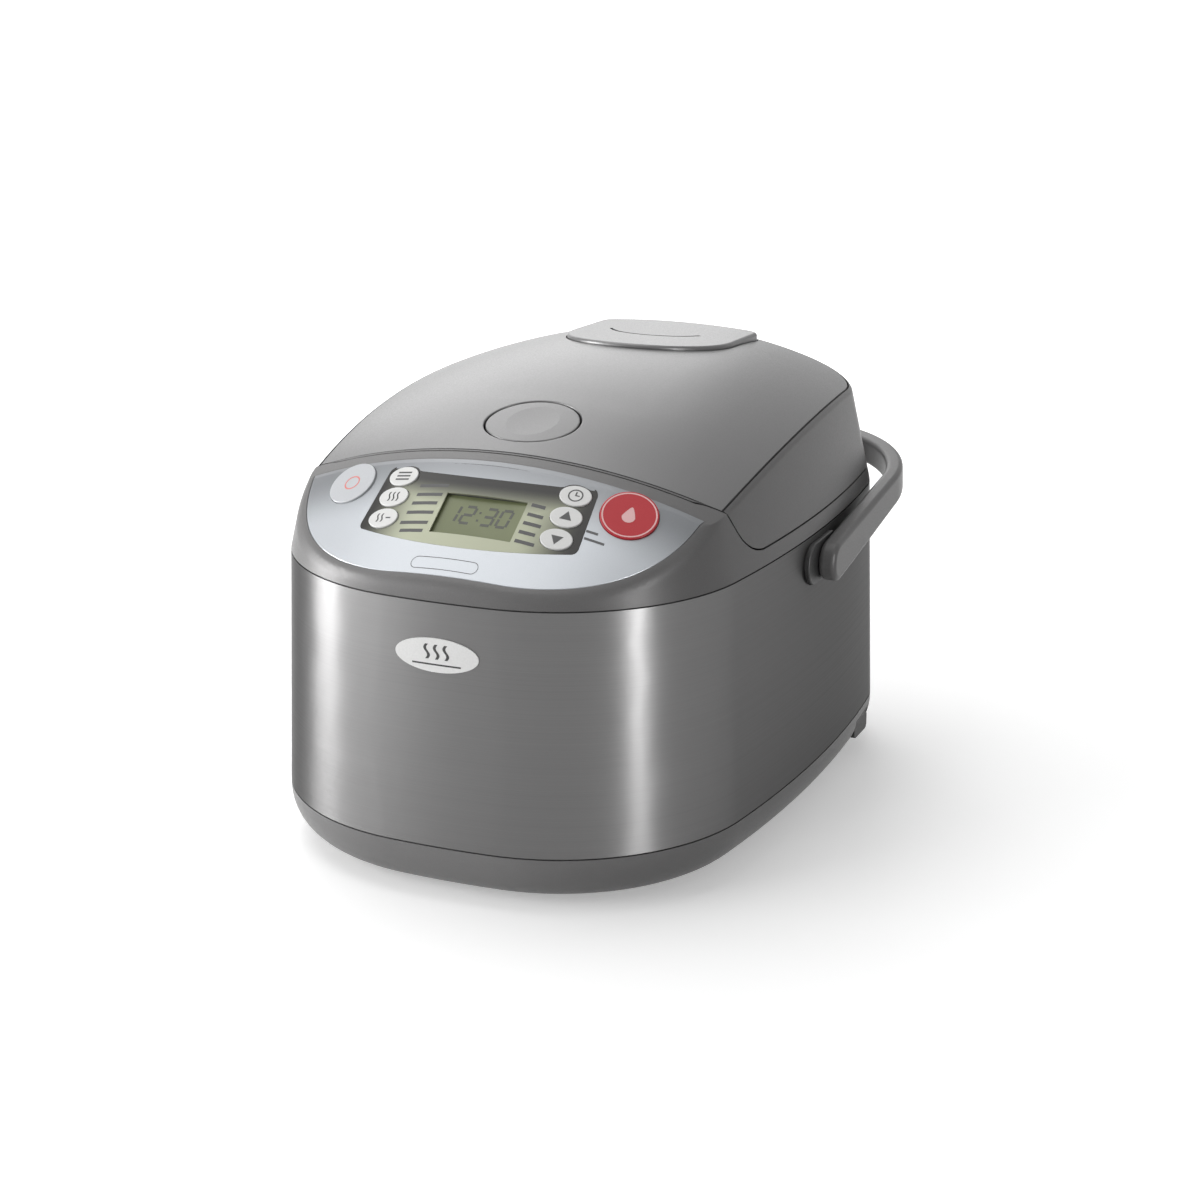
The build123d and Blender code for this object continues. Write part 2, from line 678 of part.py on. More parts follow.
def key_cap(x, y, size):
    """Key with a crowned face, a keeper bar under the panel and a stem to its switch."""
    plane = panel_plane(x, y)
    low = -(OVERLAY + WALL + 0.2 + (size[0] / 2 + 2) ** 2 / (2 * PANEL_RADIUS))
    _, reach = board_foot(x, y)
    cap = extrude(Pos(0, 0, low) * key_plan(size), amount=KEY_PROUD - low)
    cap = fillet(cap.edges().group_by(Axis.Z)[-1], 0.5)
    cap += Pos(0, 0, low - 0.6) * Box(size[0] + 4, size[1] - 4, 1.2)
    stem = reach - SWITCH_HEIGHT - KEY_TRAVEL - 1.4
    cap += Pos(0, 0, (low - stem) / 2) * Cylinder(2.0, stem + low)
    return plane * cap


# Cooking pan, its well and the induction heating under it
def cooking_pan():
    r, w, z = PAN_RADIUS, PAN_WALL, PAN_BOTTOM_Z
    lip_r, lip_z = PAN_FLANGE_RADIUS, PAN_FLANGE_Z
    sweep = 24.0
    face = make_face([
        Line((0, z), (r - sweep, z)),
        RadiusArc((r - sweep, z), (r, z + sweep), -sweep),
        Line((r, z + sweep), (r, lip_z)),
        Line((r, lip_z), (lip_r, lip_z)),
        Line((lip_r, lip_z), (lip_r, lip_z + 1.5)),
        Line((lip_r, lip_z + 1.5), (r - w, lip_z + 1.5)),
        Line((r - w, lip_z + 1.5), (r - w, z + sweep)),
        RadiusArc((r - w, z + sweep), (r - sweep, z + w), sweep - w),
        Line((r - sweep, z + w), (0, z + w)),
        Line((0, z + w), (0, z)),
    ])
    return Pos(0, PAN_Y, 0) * revolve(Plane.XZ * face, Axis.Z, 360)


def pan_well():
    r = PAN_RADIUS + WELL_GAP
    w = WELL_WALL
    z = PAN_BOTTOM_Z - WELL_GAP
    top = PAN_FLANGE_Z - 0.1
    sweep = 24.0 + WELL_GAP
    face = make_face([
        Line((SENSOR_HOLE, z - w), (r - sweep, z - w)),
        RadiusArc((r - sweep, z - w), (r + w, z + sweep), -(sweep + w)),
        Line((r + w, z + sweep), (r + w, top - w)),
        Line((r + w, top - w), (WELL_FLANGE_RADIUS, top - w)),
        Line((WELL_FLANGE_RADIUS, top - w), (WELL_FLANGE_RADIUS, top)),
        Line((WELL_FLANGE_RADIUS, top), (r, top)),
        Line((r, top), (r, z + sweep)),
        RadiusArc((r, z + sweep), (r - sweep, z), sweep),
        Line((r - sweep, z), (SENSOR_HOLE, z)),
        Line((SENSOR_HOLE, z), (SENSOR_HOLE, z - w)),
    ])
    return Pos(0, PAN_Y, 0) * revolve(Plane.XZ * face, Axis.Z, 360)


def coil_holder():
    top = COIL_Z + COIL_HEIGHT
    plate = ring([(23, HOLDER_Z), (84, HOLDER_Z), (84, COIL_Z - 0.1), (23, COIL_Z - 0.1)])
    for low, high in ((23.5, 27.5), (55.5, 62.5), (80.5, 84)):
        plate += ring([(low, COIL_Z - 1), (high, COIL_Z - 1), (high, top), (low, top)])
    near = SENSOR_STEM + 0.3
    plate += ring([(near, HUB_Z), (25, HUB_Z), (25, HUB_Z + 2), (near, HUB_Z + 2)])
    plate += ring([(23, HUB_Z), (25, HUB_Z), (25, HOLDER_Z + 1), (23, HOLDER_Z + 1)])
    for turn in COIL_ARMS:
        arm = Rot(0, 0, turn) * Pos(94, 0, HOLDER_Z + 1.5) * Box(26, 14, 3)
        plate += Pos(0, PAN_Y, 0) * arm
    return plate


def induction_coil():
    """Two flat windings, each a ring of flat turns."""
    made = []
    for low, high in COILS:
        turns = 4
        pitch = (high - low) / turns
        for turn in range(turns):
            near = low + turn * pitch
            far = near + pitch - 0.5
            low_z, high_z = COIL_Z, COIL_Z + COIL_HEIGHT - 0.4
            made.append(ring([(near, low_z), (far, low_z), (far, high_z), (near, high_z)]))
    return made


def ferrite_bars():
    bar = Pos(54, 0, HOLDER_Z - 2.6) * Box(52, 11, 5)
    return [Pos(0, PAN_Y, 0) * Rot(0, 0, 60 * turn) * bar for turn in range(6)]


def side_heater():
    low = PAN_RADIUS + WELL_GAP + WELL_WALL + 0.2
    return ring([(low, 98), (low + 1.4, 98), (low + 1.4, 134), (low, 134)])


def sensor_plunger():
    top = SENSOR_TOP_Z
    profile = [(0, HUB_Z - 4), (SENSOR_STEM, HUB_Z - 4), (SENSOR_STEM, top - 3), (18, top - 3),
               (18, top - 0.8), (17.2, top), (0, top)]
    return ring(profile)


def coil_spring(radius, wire, height, turns):
    """Round wire wound into an open helix standing on the origin."""
    path = Helix(pitch=height / turns, height=height, radius=radius)
    section = Plane(path @ 0, z_dir=path % 0) * Circle(wire)
    return sweep(section, path=path)


def sensor_spring():
    low = HUB_Z + 2.9
    height = SENSOR_TOP_Z - 3 - 0.9 - low
    return Pos(0, PAN_Y, low) * coil_spring(10.5, 0.7, height, 4)


# Power board, heat sink, fan and cord reel on the base
def power_board():
    low = (-5.0, -145.0)
    sheet = Pos(low[0] + 50, low[1] + 30) * RectangleRounded(100, 60, 3)
    return extrude(Pos(0, 0, BOARD_Z) * sheet, amount=1.6)


def heat_sink():
    z = BOARD_Z + 1.6
    block = block_between((20, -135, z), (80, -95, z + 4))
    for fin in range(9):
        x = 21.0 + fin * 7.25
        block += block_between((x - 1, -135, z + 4), (x + 1, -95, z + 32))
    return block


def fan_housing():
    box = Pos(FAN_X, FAN_Y, FAN_Z + FAN_HEIGHT / 2) * Box(FAN_SIDE, FAN_SIDE, FAN_HEIGHT)
    box = fillet(box.edges().filter_by(Axis.Z), 4)
    box -= upright(FAN_X, FAN_Y, FAN_RADIUS + 0.8, FAN_Z - 1, FAN_Z + FAN_HEIGHT + 1)
    spokes = upright(FAN_X, FAN_Y, 11.0, FAN_Z, FAN_Z + 2)
    for turn in range(4):
        spoke = Rot(0, 0, 45 + 90 * turn) * Pos(21.5, 0, 1) * Box(24, 4, 2)
        spokes += Pos(FAN_X, FAN_Y, FAN_Z) * spoke
    spokes += upright(FAN_X, FAN_Y, 2.0, FAN_Z, FAN_Z + 12)
    return box + spokes


def fan_rotor():
    z = FAN_Z + 3.0
    hub = upright(FAN_X, FAN_Y, 12.0, z, z + 12) - upright(FAN_X, FAN_Y, 2.05, z - 1, z + 10)
    for blade in range(7):
        turn = Rot(0, 0, blade * 360 / 7) * Pos(21, 0, 6) * Rot(38, 0, 0) * Box(20, 1.4, 12)
        hub += Pos(FAN_X, FAN_Y, z) * turn
    return hub & upright(FAN_X, FAN_Y, FAN_RADIUS, z, z + 12)


def cord_reel_case():
    case = upright(0, REEL_Y, REEL_RADIUS, REEL_LOW, REEL_HIGH)
    case -= upright(0, REEL_Y, REEL_RADIUS - 1.8, REEL_LOW + 1.8, REEL_HIGH - 1.8)
    case += upright(0, REEL_Y, REEL_POST, REEL_LOW, REEL_HIGH)
    return case - block_between((40, REEL_Y + 18, 12), (70, REEL_Y + 34, 22))


def cord_reel_drum():
    low, high = REEL_LOW + 2.4, REEL_HIGH - 2.4
    drum = upright(0, REEL_Y, 22, low, high)
    drum += upright(0, REEL_Y, REEL_RADIUS - 3, low, low + 1.6)
    drum += upright(0, REEL_Y, REEL_RADIUS - 3, high - 1.6, high)
    for turn in range(5):
        window = Pos(40, 0, 0) * Cylinder(8, 60)
        drum -= Pos(0, REEL_Y, high) * Rot(0, 0, 72 * turn) * window
    return drum - upright(0, REEL_Y, REEL_POST + 0.05, 0, 40)


# Lid: cover, frame, liner and what hangs under them
def lid_solids():
    """Closed form of the lid and the hollow inside it."""
    solid = lid_block(0, LID_EDGE_ROUND) & lid_zone()
    hollow = prism(WALL, TOP_SEAM_Z, DOME_TOP_Z, DOME_TAPER) & lid_skin(WALL + COVER_SEAT)
    hollow &= lid_zone(-WALL)
    return solid, hollow


def cover_zone(margin):
    """Part of the lid's top that the cover plate spans."""
    zone = prism(COVER_EDGE + margin, TOP_SEAM_Z, DOME_TOP_Z, DOME_TAPER)
    return zone & front_arc_disc(LID_FRONT_Y + COVER_FRONT + margin, LID_FRONT_RADIUS)


def vent_plan(grow):
    """Tongue shaped patch of the lid's rear that the vent cap fills, as a tall block."""
    radius = VENT_RADIUS + grow
    rear = VENT_REAR_Y + grow
    tongue = upright(0, VENT_Y, radius, 170, 280)
    tongue += block_between((-radius, VENT_Y, 170), (radius, rear, 280))
    tongue -= block_between((-100, rear, 160), (100, 300, 290))
    return fillet(tongue.edges().filter_by(Axis.Z).group_by(Axis.Y)[-1], VENT_CORNER + grow)


def vent_skin(depth):
    return arch(VENT_MID, VENT_SLOPE, VENT_CROSS_RADIUS, depth)


def button_oval(grow, low, high):
    oval = Ellipse(BUTTON_SIZE[0] / 2 + grow, BUTTON_SIZE[1] / 2 + grow)
    return extrude(Pos(0, BUTTON_Y, low) * oval, amount=high - low)


def lid_cover(solid):
    plate = (solid & cover_zone(0)) - lid_skin(WALL)
    plate -= vent_plan(0) + button_oval(BUTTON_GAP, 200, 260)
    around = [e for e in plate.edges() if abs(e.bounding_box().center().Y - BUTTON_Y) < 1 and e.length > 100]
    return fillet(max(around, key=lambda e: e.bounding_box().max.Z), BUTTON_EDGE)


def liner_zone(grow):
    zone = prism(LINER_INSET - grow, 160, LINER_TOP_Z + grow)
    return zone & block_between((-160, LINER_FRONT_Y - grow, 160), (160, LINER_REAR_Y + grow, 180))


def hinge_notch(grow=0.0):
    """Pocket in the lid's rear that takes the hinge."""
    half = HINGE_NOTCH_HALF + grow
    return block_between((-half, HINGE_Y - 13 - grow, 165), (half, 200, HINGE_Z + 13 + grow))


def lid_frame(solid, hollow):
    """Side walls and rim of the lid, with the cover's seat, the hinge pocket and screw posts."""
    walls = solid - hollow
    walls -= cover_zone(-COVER_GAP) - lid_skin(WALL + 0.05)
    walls -= cover_zone(COVER_LEDGE) - lid_skin(WALL + COVER_SEAT + 1)
    walls += hinge_notch(WALL) & solid
    for x, y in LID_SCREW_PLACES:
        outside = math.copysign(132, x)
        low, high = sorted((x, outside))
        rib = block_between((low, y - 2.5, LID_POST_Z), (high, y + 2.5, 188))
        walls += (rib + upright(x, y, 5.0, LID_POST_Z, 188)) & solid
        walls -= upright(x, y, 1.95, 170, 187)
    walls -= liner_zone(0.2)
    walls -= upright(0, PAN_Y, LINER_HOLE, 160, LINER_TOP_Z + 0.2)
    walls -= vent_plan(2.1) - lid_skin(12)
    walls -= block_between((-LATCH_HALF - 1, -110, 176.5), (LATCH_HALF + 1, -68, 198))
    return walls - hinge_notch()


def lid_liner(solid):
    plate = solid & liner_zone(0)
    plate -= upright(0, PAN_Y, LINER_HOLE, 160, 190)
    for x, y in LID_SCREW_PLACES:
        plate += upright(x, y, 6.0, LID_BOTTOM_Z, LID_POST_Z - 0.05)
        plate -= upright(x, y, 2.1, 170, 180) + upright(x, y, 4.3, 170, LID_BOTTOM_Z + 2.4)
    return plate - hinge_notch()


def lid_heater():
    z = LINER_TOP_Z + 0.2
    plate = upright(0, PAN_Y, 99, z, z + 1.5)
    plate += ring([(70, z + 1), (78, z + 1), (78, z + 4), (70, z + 4)])
    plate &= block_between((-120, -120, 0), (120, HINGE_Y - 16, 300))
    return plate - upright(0, STEAM_Y, STEAM_RADIUS + 2.4, 160, 200)


def inner_lid():
    z = INNER_LID_Z
    plate = ring([(0, z), (98.5, z), (98.5, z + 1.2), (0, z + 1.2)])
    plate += ring([(60, z - 2), (64, z - 2), (64, z), (60, z)])
    plate += upright(0, PAN_Y, 9, z - 6, z)
    return plate - upright(0, STEAM_Y, 4, 160, 190)


def inner_lid_gasket():
    low, high = PAN_FLANGE_Z + 1.9, LID_BOTTOM_Z - 0.1
    return ring([(97, low + 1.6), (102, low), (107.5, low), (107.5, low + 1.2), (104, high), (97, high)])


def steam_gasket():
    low, high = INNER_LID_Z + 1.3, LINER_TOP_Z + 6
    tube = upright(0, STEAM_Y, STEAM_RADIUS + 2.2, low, high)
    return tube - upright(0, STEAM_Y, STEAM_RADIUS + 0.2, low - 1, high + 1)


def steam_socket():
    """Dish under the vent cap with a steam tube down to the inner lid."""
    rim = (vent_plan(1.8) - vent_plan(0)) & (lid_skin(WALL) - lid_skin(9.5))
    floor = vent_plan(0.5) & (lid_skin(7.5) - lid_skin(9.5))
    tube = upright(0, STEAM_Y, STEAM_RADIUS, LINER_TOP_Z + 0.4, 240.0)
    bore = upright(0, STEAM_Y, STEAM_RADIUS - 1.8, 160, 260)
    return rim + floor + tube - bore


def vent_cap():
    """Lift off cap: arched top, skirt, and a crescent slit for the steam."""
    block = vent_plan(-VENT_GAP) & vent_skin(0)
    block = fillet(block.faces().sort_by(Axis.Z)[-1].edges(), VENT_EDGE)
    slit = upright(0, VENT_SLIT_Y, VENT_SLIT_RADIUS + VENT_SLIT / 2, 160, 290)
    slit -= upright(0, VENT_SLIT_Y, VENT_SLIT_RADIUS - VENT_SLIT / 2, 150, 300)
    block -= slit & block_between((-60, 60, 150), (60, VENT_SLIT_Y - 14, 300))
    inside = vent_plan(-VENT_GAP - 2.2) & vent_skin(2.5)
    return block - inside - lid_skin(7.2)


def lid_screws():
    return screws(LID_SCREW_PLACES, LID_BOTTOM_Z + 1.25, False, 9.0)


def lid_button():
    """Oval button with a rounded edge, a shallow finger dish and a stem to the latch."""
    plate = button_oval(0, 200, 260) & (lid_skin(0.3) - lid_skin(3.5))
    plate = fillet(plate.faces().sort_by(Axis.Z)[-1].edges(), BUTTON_EDGE)
    lean = math.asin((LID_APEX_Y - BUTTON_Y) / LID_LONG_RADIUS)
    reach = LID_LONG_RADIUS + BUTTON_DISH_RADIUS - BUTTON_DISH_DEPTH
    centre = (0, LID_APEX_Y - reach * math.sin(lean), LID_APEX_Z - LID_LONG_RADIUS + reach * math.cos(lean))
    plate -= Pos(*centre) * Sphere(BUTTON_DISH_RADIUS)
    stem = upright(0, BUTTON_Y, STEM_RADIUS, STEM_FOOT_Z, 245) & lid_skin(3.0)
    return plate + stem


def button_housing():
    """Cup hung under the cover that guides the button and seats its spring."""
    low = BUTTON_FLOOR_Z
    cup = button_oval(BUTTON_GAP + 1.8, low, 250) - button_oval(BUTTON_GAP, low + 1.6, 260)
    cup &= lid_skin(WALL)
    return cup - upright(0, BUTTON_Y, STEM_RADIUS + 0.3, 200, 240)


def button_spring():
    low = BUTTON_FLOOR_Z + 1.6 + 0.7
    return Pos(0, BUTTON_Y, low) * coil_spring(6.4, 0.6, 8.2, 3)


def latch_hook():
    """Rocking latch: pad under the button, pivot eye and a nose toward the keeper."""
    half = LATCH_HALF
    body = side_profile([
        (-76, 203), (-76, 206.9), (-63, 206.9), (-58, 209), (-52, 209),
        (-49, 206), (-49, 200), (-52, 197), (-62, 197), (-74, 187.5),
        (-85, 187.5), (-86.5, 190.5), (-85.5, 193), (-75, 194), (-66, 203),
    ], half)
    return body - across_x(LATCH_Y, LATCH_Z, LATCH_PIN + 0.05, -20, 20)


def latch_pin():
    pin = across_x(LATCH_Y, LATCH_Z, LATCH_PIN, -15, 15)
    for side in (-1, 1):
        low, high = sorted((side * 12, side * 16))
        pin += block_between((low, LATCH_Y - 4, LATCH_Z - 4), (high, LATCH_Y + 4, BUTTON_FLOOR_Z - 0.02))
    return pin


# Hinge and handle
def hinge_bracket(frame):
    bracket = block_between((-35.5, 143, 172), (35.5, 160, 175.2))
    for side in (-1, 1):
        low = side * EAR_X - EAR_WIDTH / 2
        high = side * EAR_X + EAR_WIDTH / 2
        bracket += across_x(HINGE_Y, HINGE_Z, EAR_RADIUS, low, high)
        bracket += block_between((low, HINGE_Y - 6, 172), (high, HINGE_Y + 6, HINGE_Z))
    bracket -= across_x(HINGE_Y, HINGE_Z, HINGE_PIN_RADIUS + 0.02, -50, 50)
    return bracket - frame - block_between((-60, 100, 160), (60, 200, 173.7))


def hinge_pin():
    return across_x(HINGE_Y, HINGE_Z, HINGE_PIN_RADIUS, -36, 36)


def hinge_springs():
    coil = Rot(0, 90, 0) * coil_spring(5.2, 0.8, 10.0, 6)
    return [Pos(x, HINGE_Y, HINGE_Z) * coil for x in (17.8, -27.8)]


def hinge_knuckle():
    """Lid half of the hinge: eye on the pin, web forward and a flange on the pocket's front."""
    half = KNUCKLE_HALF
    front = HINGE_Y - 13 + 0.05
    eye = across_x(HINGE_Y, HINGE_Z, 8.0, -half, half)
    web = block_between((-half, front, HINGE_Z - 6), (half, HINGE_Y, HINGE_Z + 6))
    flange = block_between((-26, front, HINGE_Z - 11), (26, front + 3, HINGE_Z + 11))
    return eye + web + flange - across_x(HINGE_Y, HINGE_Z, HINGE_PIN_RADIUS + HINGE_FIT, -40, 40)


def handle():
    """Bail drawn flat about its pivot, then tipped back to where it rests."""
    tilt = math.radians(HANDLE_TILT)
    sag = (HANDLE_BAR_HEIGHT / 2 - HANDLE_EDGE) * math.sin(tilt)
    length = (HANDLE_REAR_Y - HANDLE_Y - HANDLE_EDGE - sag) / math.cos(tilt) + HANDLE_EDGE
    low = -HANDLE_END_RADIUS
    outer = Pos(0, (length + low) / 2) * Rectangle(2 * HANDLE_OUTER, length - low)
    outer = fillet(outer.vertices().group_by(Axis.Y)[-1], HANDLE_CORNER)
    reach = length - HANDLE_BAR
    inner = Pos(0, (reach + low) / 2 - 20) * Rectangle(2 * HANDLE_INNER, reach - low + 40)
    inner = fillet(inner.vertices().group_by(Axis.Y)[-1], HANDLE_CORNER - HANDLE_BAR)
    bail = extrude(outer - inner, amount=20, both=True)
    narrow = math.atan((HANDLE_END_RADIUS - HANDLE_BAR_HEIGHT / 2) / length)
    touch_y = HANDLE_END_RADIUS * math.sin(narrow)
    touch_z = HANDLE_END_RADIUS * math.cos(narrow)
    far = length + 5
    far_z = touch_z - (far - touch_y) * math.tan(narrow)
    side = make_face([
        ThreePointArc((touch_y, touch_z), (low, 0), (touch_y, -touch_z)),
        Line((touch_y, -touch_z), (far, -far_z)),
        Line((far, -far_z), (far, far_z)),
        Line((far, far_z), (touch_y, touch_z)),
    ])
    bail &= extrude(Plane.YZ * side, amount=SOLID_HALF, both=True)
    seams = bail.edges().filter_by(Axis.Z)
    seams += [e for e in bail.edges().filter_by(Axis.X) if e.length < 20]
    bail = fillet([e for e in bail.edges() if e not in seams], HANDLE_EDGE)
    for near, out in ((-HANDLE_INNER, -HANDLE_OUTER), (HANDLE_INNER, HANDLE_OUTER)):
        ends = sorted((near * 0.99, out - math.copysign(3.5, out)))
        bail -= across_x(0, 0, PIVOT_RADIUS + 0.05, *ends)
    return Pos(0, HANDLE_Y, HANDLE_Z) * Rot(HANDLE_TILT, 0, 0) * bail


def handle_bosses():
    boss = boss_blocks()[0]
    boss = fillet(boss.edges().group_by(Axis.X)[-1], 0.8)
    return mirror_pair(boss - across_x(HANDLE_Y, HANDLE_Z, PIVOT_RADIUS + 0.02, 100, 200))


def handle_pins():
    return mirror_pair(across_x(HANDLE_Y, HANDLE_Z, PIVOT_RADIUS, 128, HANDLE_OUTER - 3.8))


def build():
    """Every piece by its name, as one solid or a list of like solids."""
    wall = frame_wall()
    frame = top_frame(wall)
    solid, hollow = lid_solids()
    pieces = {
        "base_pan": base_pan(),
        "plug_bay": plug_bay(),
        "plug": plug(),
        "rubber_feet": rubber_feet(),
        "base_screws": screws(SCREW_PLACES, 6.8, False, 11.0),
        "steel_wrap": steel_wrap(),
        "badge_plate": badge_plate(),
        "top_frame": frame,
        "latch_strike": latch_strike(wall),
        "panel_overlay": panel_overlay(),
        "display_window": display_window(),
        "lcd_module": lcd_module(),
        "lcd_holder": lcd_holder(),
        "control_board": control_board(),
        "tact_switches": tact_switches(),
        "cooking_pan": cooking_pan(),
        "pan_well": pan_well(),
        "coil_holder": coil_holder(),
        "induction_coil": induction_coil(),
        "ferrite_bars": ferrite_bars(),
        "side_heater": side_heater(),
        "sensor_plunger": sensor_plunger(),
        "sensor_spring": sensor_spring(),
        "power_board": power_board(),
        "heat_sink": heat_sink(),
        "fan_housing": fan_housing(),
        "fan_rotor": fan_rotor(),
        "cord_reel_case": cord_reel_case(),
        "cord_reel_drum": cord_reel_drum(),
        "lid_cover": lid_cover(solid),
        "lid_frame": lid_frame(solid, hollow),
        "lid_liner": lid_liner(solid),
        "lid_heater": lid_heater(),
        "inner_lid": inner_lid(),
        "inner_lid_gasket": inner_lid_gasket(),
        "steam_gasket": steam_gasket(),
        "steam_socket": steam_socket(),
        "vent_cap": vent_cap(),
        "lid_screws": lid_screws(),
        "lid_button": lid_button(),
        "button_housing": button_housing(),
        "button_spring": button_spring(),
        "latch_hook": latch_hook(),
        "latch_pin": latch_pin(),
        "hinge_bracket": hinge_bracket(frame),
        "hinge_pin": hinge_pin(),
        "hinge_springs": hinge_springs(),
        "hinge_knuckle": hinge_knuckle(),
        "handle": handle(),
        "handle_bosses": handle_bosses(),
        "handle_pins": handle_pins(),
    }
    for name, x, y, size in KEYS:
        pieces[name] = key_cap(x, y, size)
    return pieces


def write(name, piece):
    """One file for each piece, holding its solids and nothing else."""
    parts = piece if isinstance(piece, list) else [piece]
    solids = [solid for part in parts for solid in part.solids()]
    whole = solids[0] if len(solids) == 1 else Compound(children=solids)
    export_step(whole, os.path.join("parts", name + ".step"))


if __name__ == "__main__":
    os.makedirs("parts", exist_ok=True)
    for piece_name, made in build().items():
        write(piece_name, made)
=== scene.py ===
"""Rice cooker on a pale floor: finishes, printed marks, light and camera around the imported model."""
import json
import math

import bmesh
import bpy
from mathutils import Matrix, Vector
from mathutils.bvhtree import BVHTree


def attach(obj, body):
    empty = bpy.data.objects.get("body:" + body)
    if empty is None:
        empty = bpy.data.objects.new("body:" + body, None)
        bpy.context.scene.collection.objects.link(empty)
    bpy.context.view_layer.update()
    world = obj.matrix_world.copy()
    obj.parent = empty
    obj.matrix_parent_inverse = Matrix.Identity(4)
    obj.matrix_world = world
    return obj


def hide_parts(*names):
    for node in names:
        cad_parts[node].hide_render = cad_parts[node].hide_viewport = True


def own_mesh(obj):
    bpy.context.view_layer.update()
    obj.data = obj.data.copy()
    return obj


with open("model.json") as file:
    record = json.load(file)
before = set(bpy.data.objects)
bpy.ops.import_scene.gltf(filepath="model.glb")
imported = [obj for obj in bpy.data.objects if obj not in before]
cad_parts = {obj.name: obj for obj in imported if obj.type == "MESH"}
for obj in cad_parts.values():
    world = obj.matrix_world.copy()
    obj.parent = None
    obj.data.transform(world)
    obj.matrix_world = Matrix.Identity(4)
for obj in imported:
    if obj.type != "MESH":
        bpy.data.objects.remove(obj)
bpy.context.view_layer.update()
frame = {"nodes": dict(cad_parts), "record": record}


# Base pan: a tray moulded in grey plastic, painted lighter for bounce light, with a wide rounded foot edge.
# It carries every other piece and is screwed up from below.
BODY_OF = {
    node: body
    for body, nodes in frame["record"]["behaviour"]["bodies"].items()
    for node in nodes
}
NOISE_REACH = (0.3, 0.7)
SHADE_REACH = (0.35, 0.65)
GLOSS_PATCH = 0.35
GLOSS_STRAY = 0.05
SKIN_BUMP = 0.25
WELD_REACH = 2e-6
SHARP_EDGE = math.radians(28.0)


def finish(name, colour, roughness, metallic=0.0, specular=0.5):
    """New material with its even values set on the shader, and its nodes to hand."""
    material = bpy.data.materials.new(name)
    material.use_nodes = True
    shader = material.node_tree.nodes["Principled BSDF"]
    shader.inputs["Base Color"].default_value = (*colour, 1.0)
    shader.inputs["Roughness"].default_value = roughness
    shader.inputs["Metallic"].default_value = metallic
    shader.inputs["Specular IOR Level"].default_value = specular
    return material, material.node_tree, shader


def grain(tree, scale, detail=3.0, stretch=(1, 1, 1)):
    """Noise on the piece's own coordinates, stretched along its axes."""
    place = tree.nodes.new("ShaderNodeTexCoord")
    mapping = tree.nodes.new("ShaderNodeMapping")
    mapping.inputs["Scale"].default_value = stretch
    noise = tree.nodes.new("ShaderNodeTexNoise")
    noise.inputs["Scale"].default_value = scale
    noise.inputs["Detail"].default_value = detail
    tree.links.new(place.outputs["Object"], mapping.inputs["Vector"])
    tree.links.new(mapping.outputs["Vector"], noise.inputs["Vector"])
    return noise.outputs["Fac"]


def spread(tree, value, socket, low, high):
    """Runs a noise between two amounts into a socket."""
    run = tree.nodes.new("ShaderNodeMapRange")
    run.inputs["From Min"].default_value = NOISE_REACH[0]
    run.inputs["From Max"].default_value = NOISE_REACH[1]
    run.inputs["To Min"].default_value = low
    run.inputs["To Max"].default_value = high
    tree.links.new(value, run.inputs["Value"])
    tree.links.new(run.outputs["Result"], socket)


def tint(tree, value, socket, first, last, reach=SHADE_REACH):
    """Colour that goes from one shade to another with a value."""
    ramp = tree.nodes.new("ShaderNodeValToRGB")
    for stop, place, shade in zip(ramp.color_ramp.elements, reach, (first, last)):
        stop.position = place
        stop.color = (*shade, 1.0)
    tree.links.new(value, ramp.inputs["Fac"])
    tree.links.new(ramp.outputs["Color"], socket)


def roughen(tree, value, shader, strength, height):
    """Fine bump from a noise."""
    bump = tree.nodes.new("ShaderNodeBump")
    bump.inputs["Strength"].default_value = strength
    bump.inputs["Distance"].default_value = height
    tree.links.new(value, bump.inputs["Height"])
    tree.links.new(bump.outputs["Normal"], shader.inputs["Normal"])


def moulded(name, dark, light, roughness, speck, depth, metallic=0.0, specular=0.5):
    """Moulded plastic: a little flake in the colour and a fine spark-eroded skin."""
    material, tree, shader = finish(name, light, roughness, metallic, specular)
    flake = grain(tree, speck, detail=4.0)
    tint(tree, flake, shader.inputs["Base Color"], dark, light)
    spread(tree, grain(tree, speck * GLOSS_PATCH), shader.inputs["Roughness"],
           low=roughness - GLOSS_STRAY, high=roughness + GLOSS_STRAY)
    roughen(tree, flake, shader, SKIN_BUMP, depth)
    return material


def dress(node, material):
    """Merged and smoothed copy of a CAD node that stands for it."""
    mesh = frame["nodes"][node].data.copy()
    piece = bpy.data.objects.new(node + "_skin", mesh)
    bpy.context.scene.collection.objects.link(piece)
    bm = bmesh.new()
    bm.from_mesh(mesh)
    bmesh.ops.remove_doubles(bm, verts=bm.verts, dist=WELD_REACH)
    for face in bm.faces:
        face.smooth = True
        face.material_index = 0
    for edge in bm.edges:
        edge.smooth = edge.calc_face_angle(math.pi) < SHARP_EDGE
    bm.to_mesh(mesh)
    bm.free()
    mesh.materials.clear()
    mesh.materials.append(material)
    even = piece.modifiers.new("even_shade", "WEIGHTED_NORMAL")
    even.keep_sharp = True
    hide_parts(node)
    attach(piece, BODY_OF[node])


grey_plastic = moulded("grey_plastic", (0.136, 0.134, 0.134), (0.152, 0.150, 0.150),
                       roughness=0.38, speck=2600, depth=2e-5, metallic=0.1, specular=0.15)
# Painted light: the base's grey is a lighter copy of the walls' grey, standing in for light thrown up from
# the floor.
base_plastic_painted_bounce = moulded("base_plastic_painted_bounce", (0.172, 0.170, 0.170), (0.188, 0.186, 0.186),
                       roughness=0.38, speck=2600, depth=2e-5, metallic=0.1, specular=0.15)
dress("base_pan", base_plastic_painted_bounce)


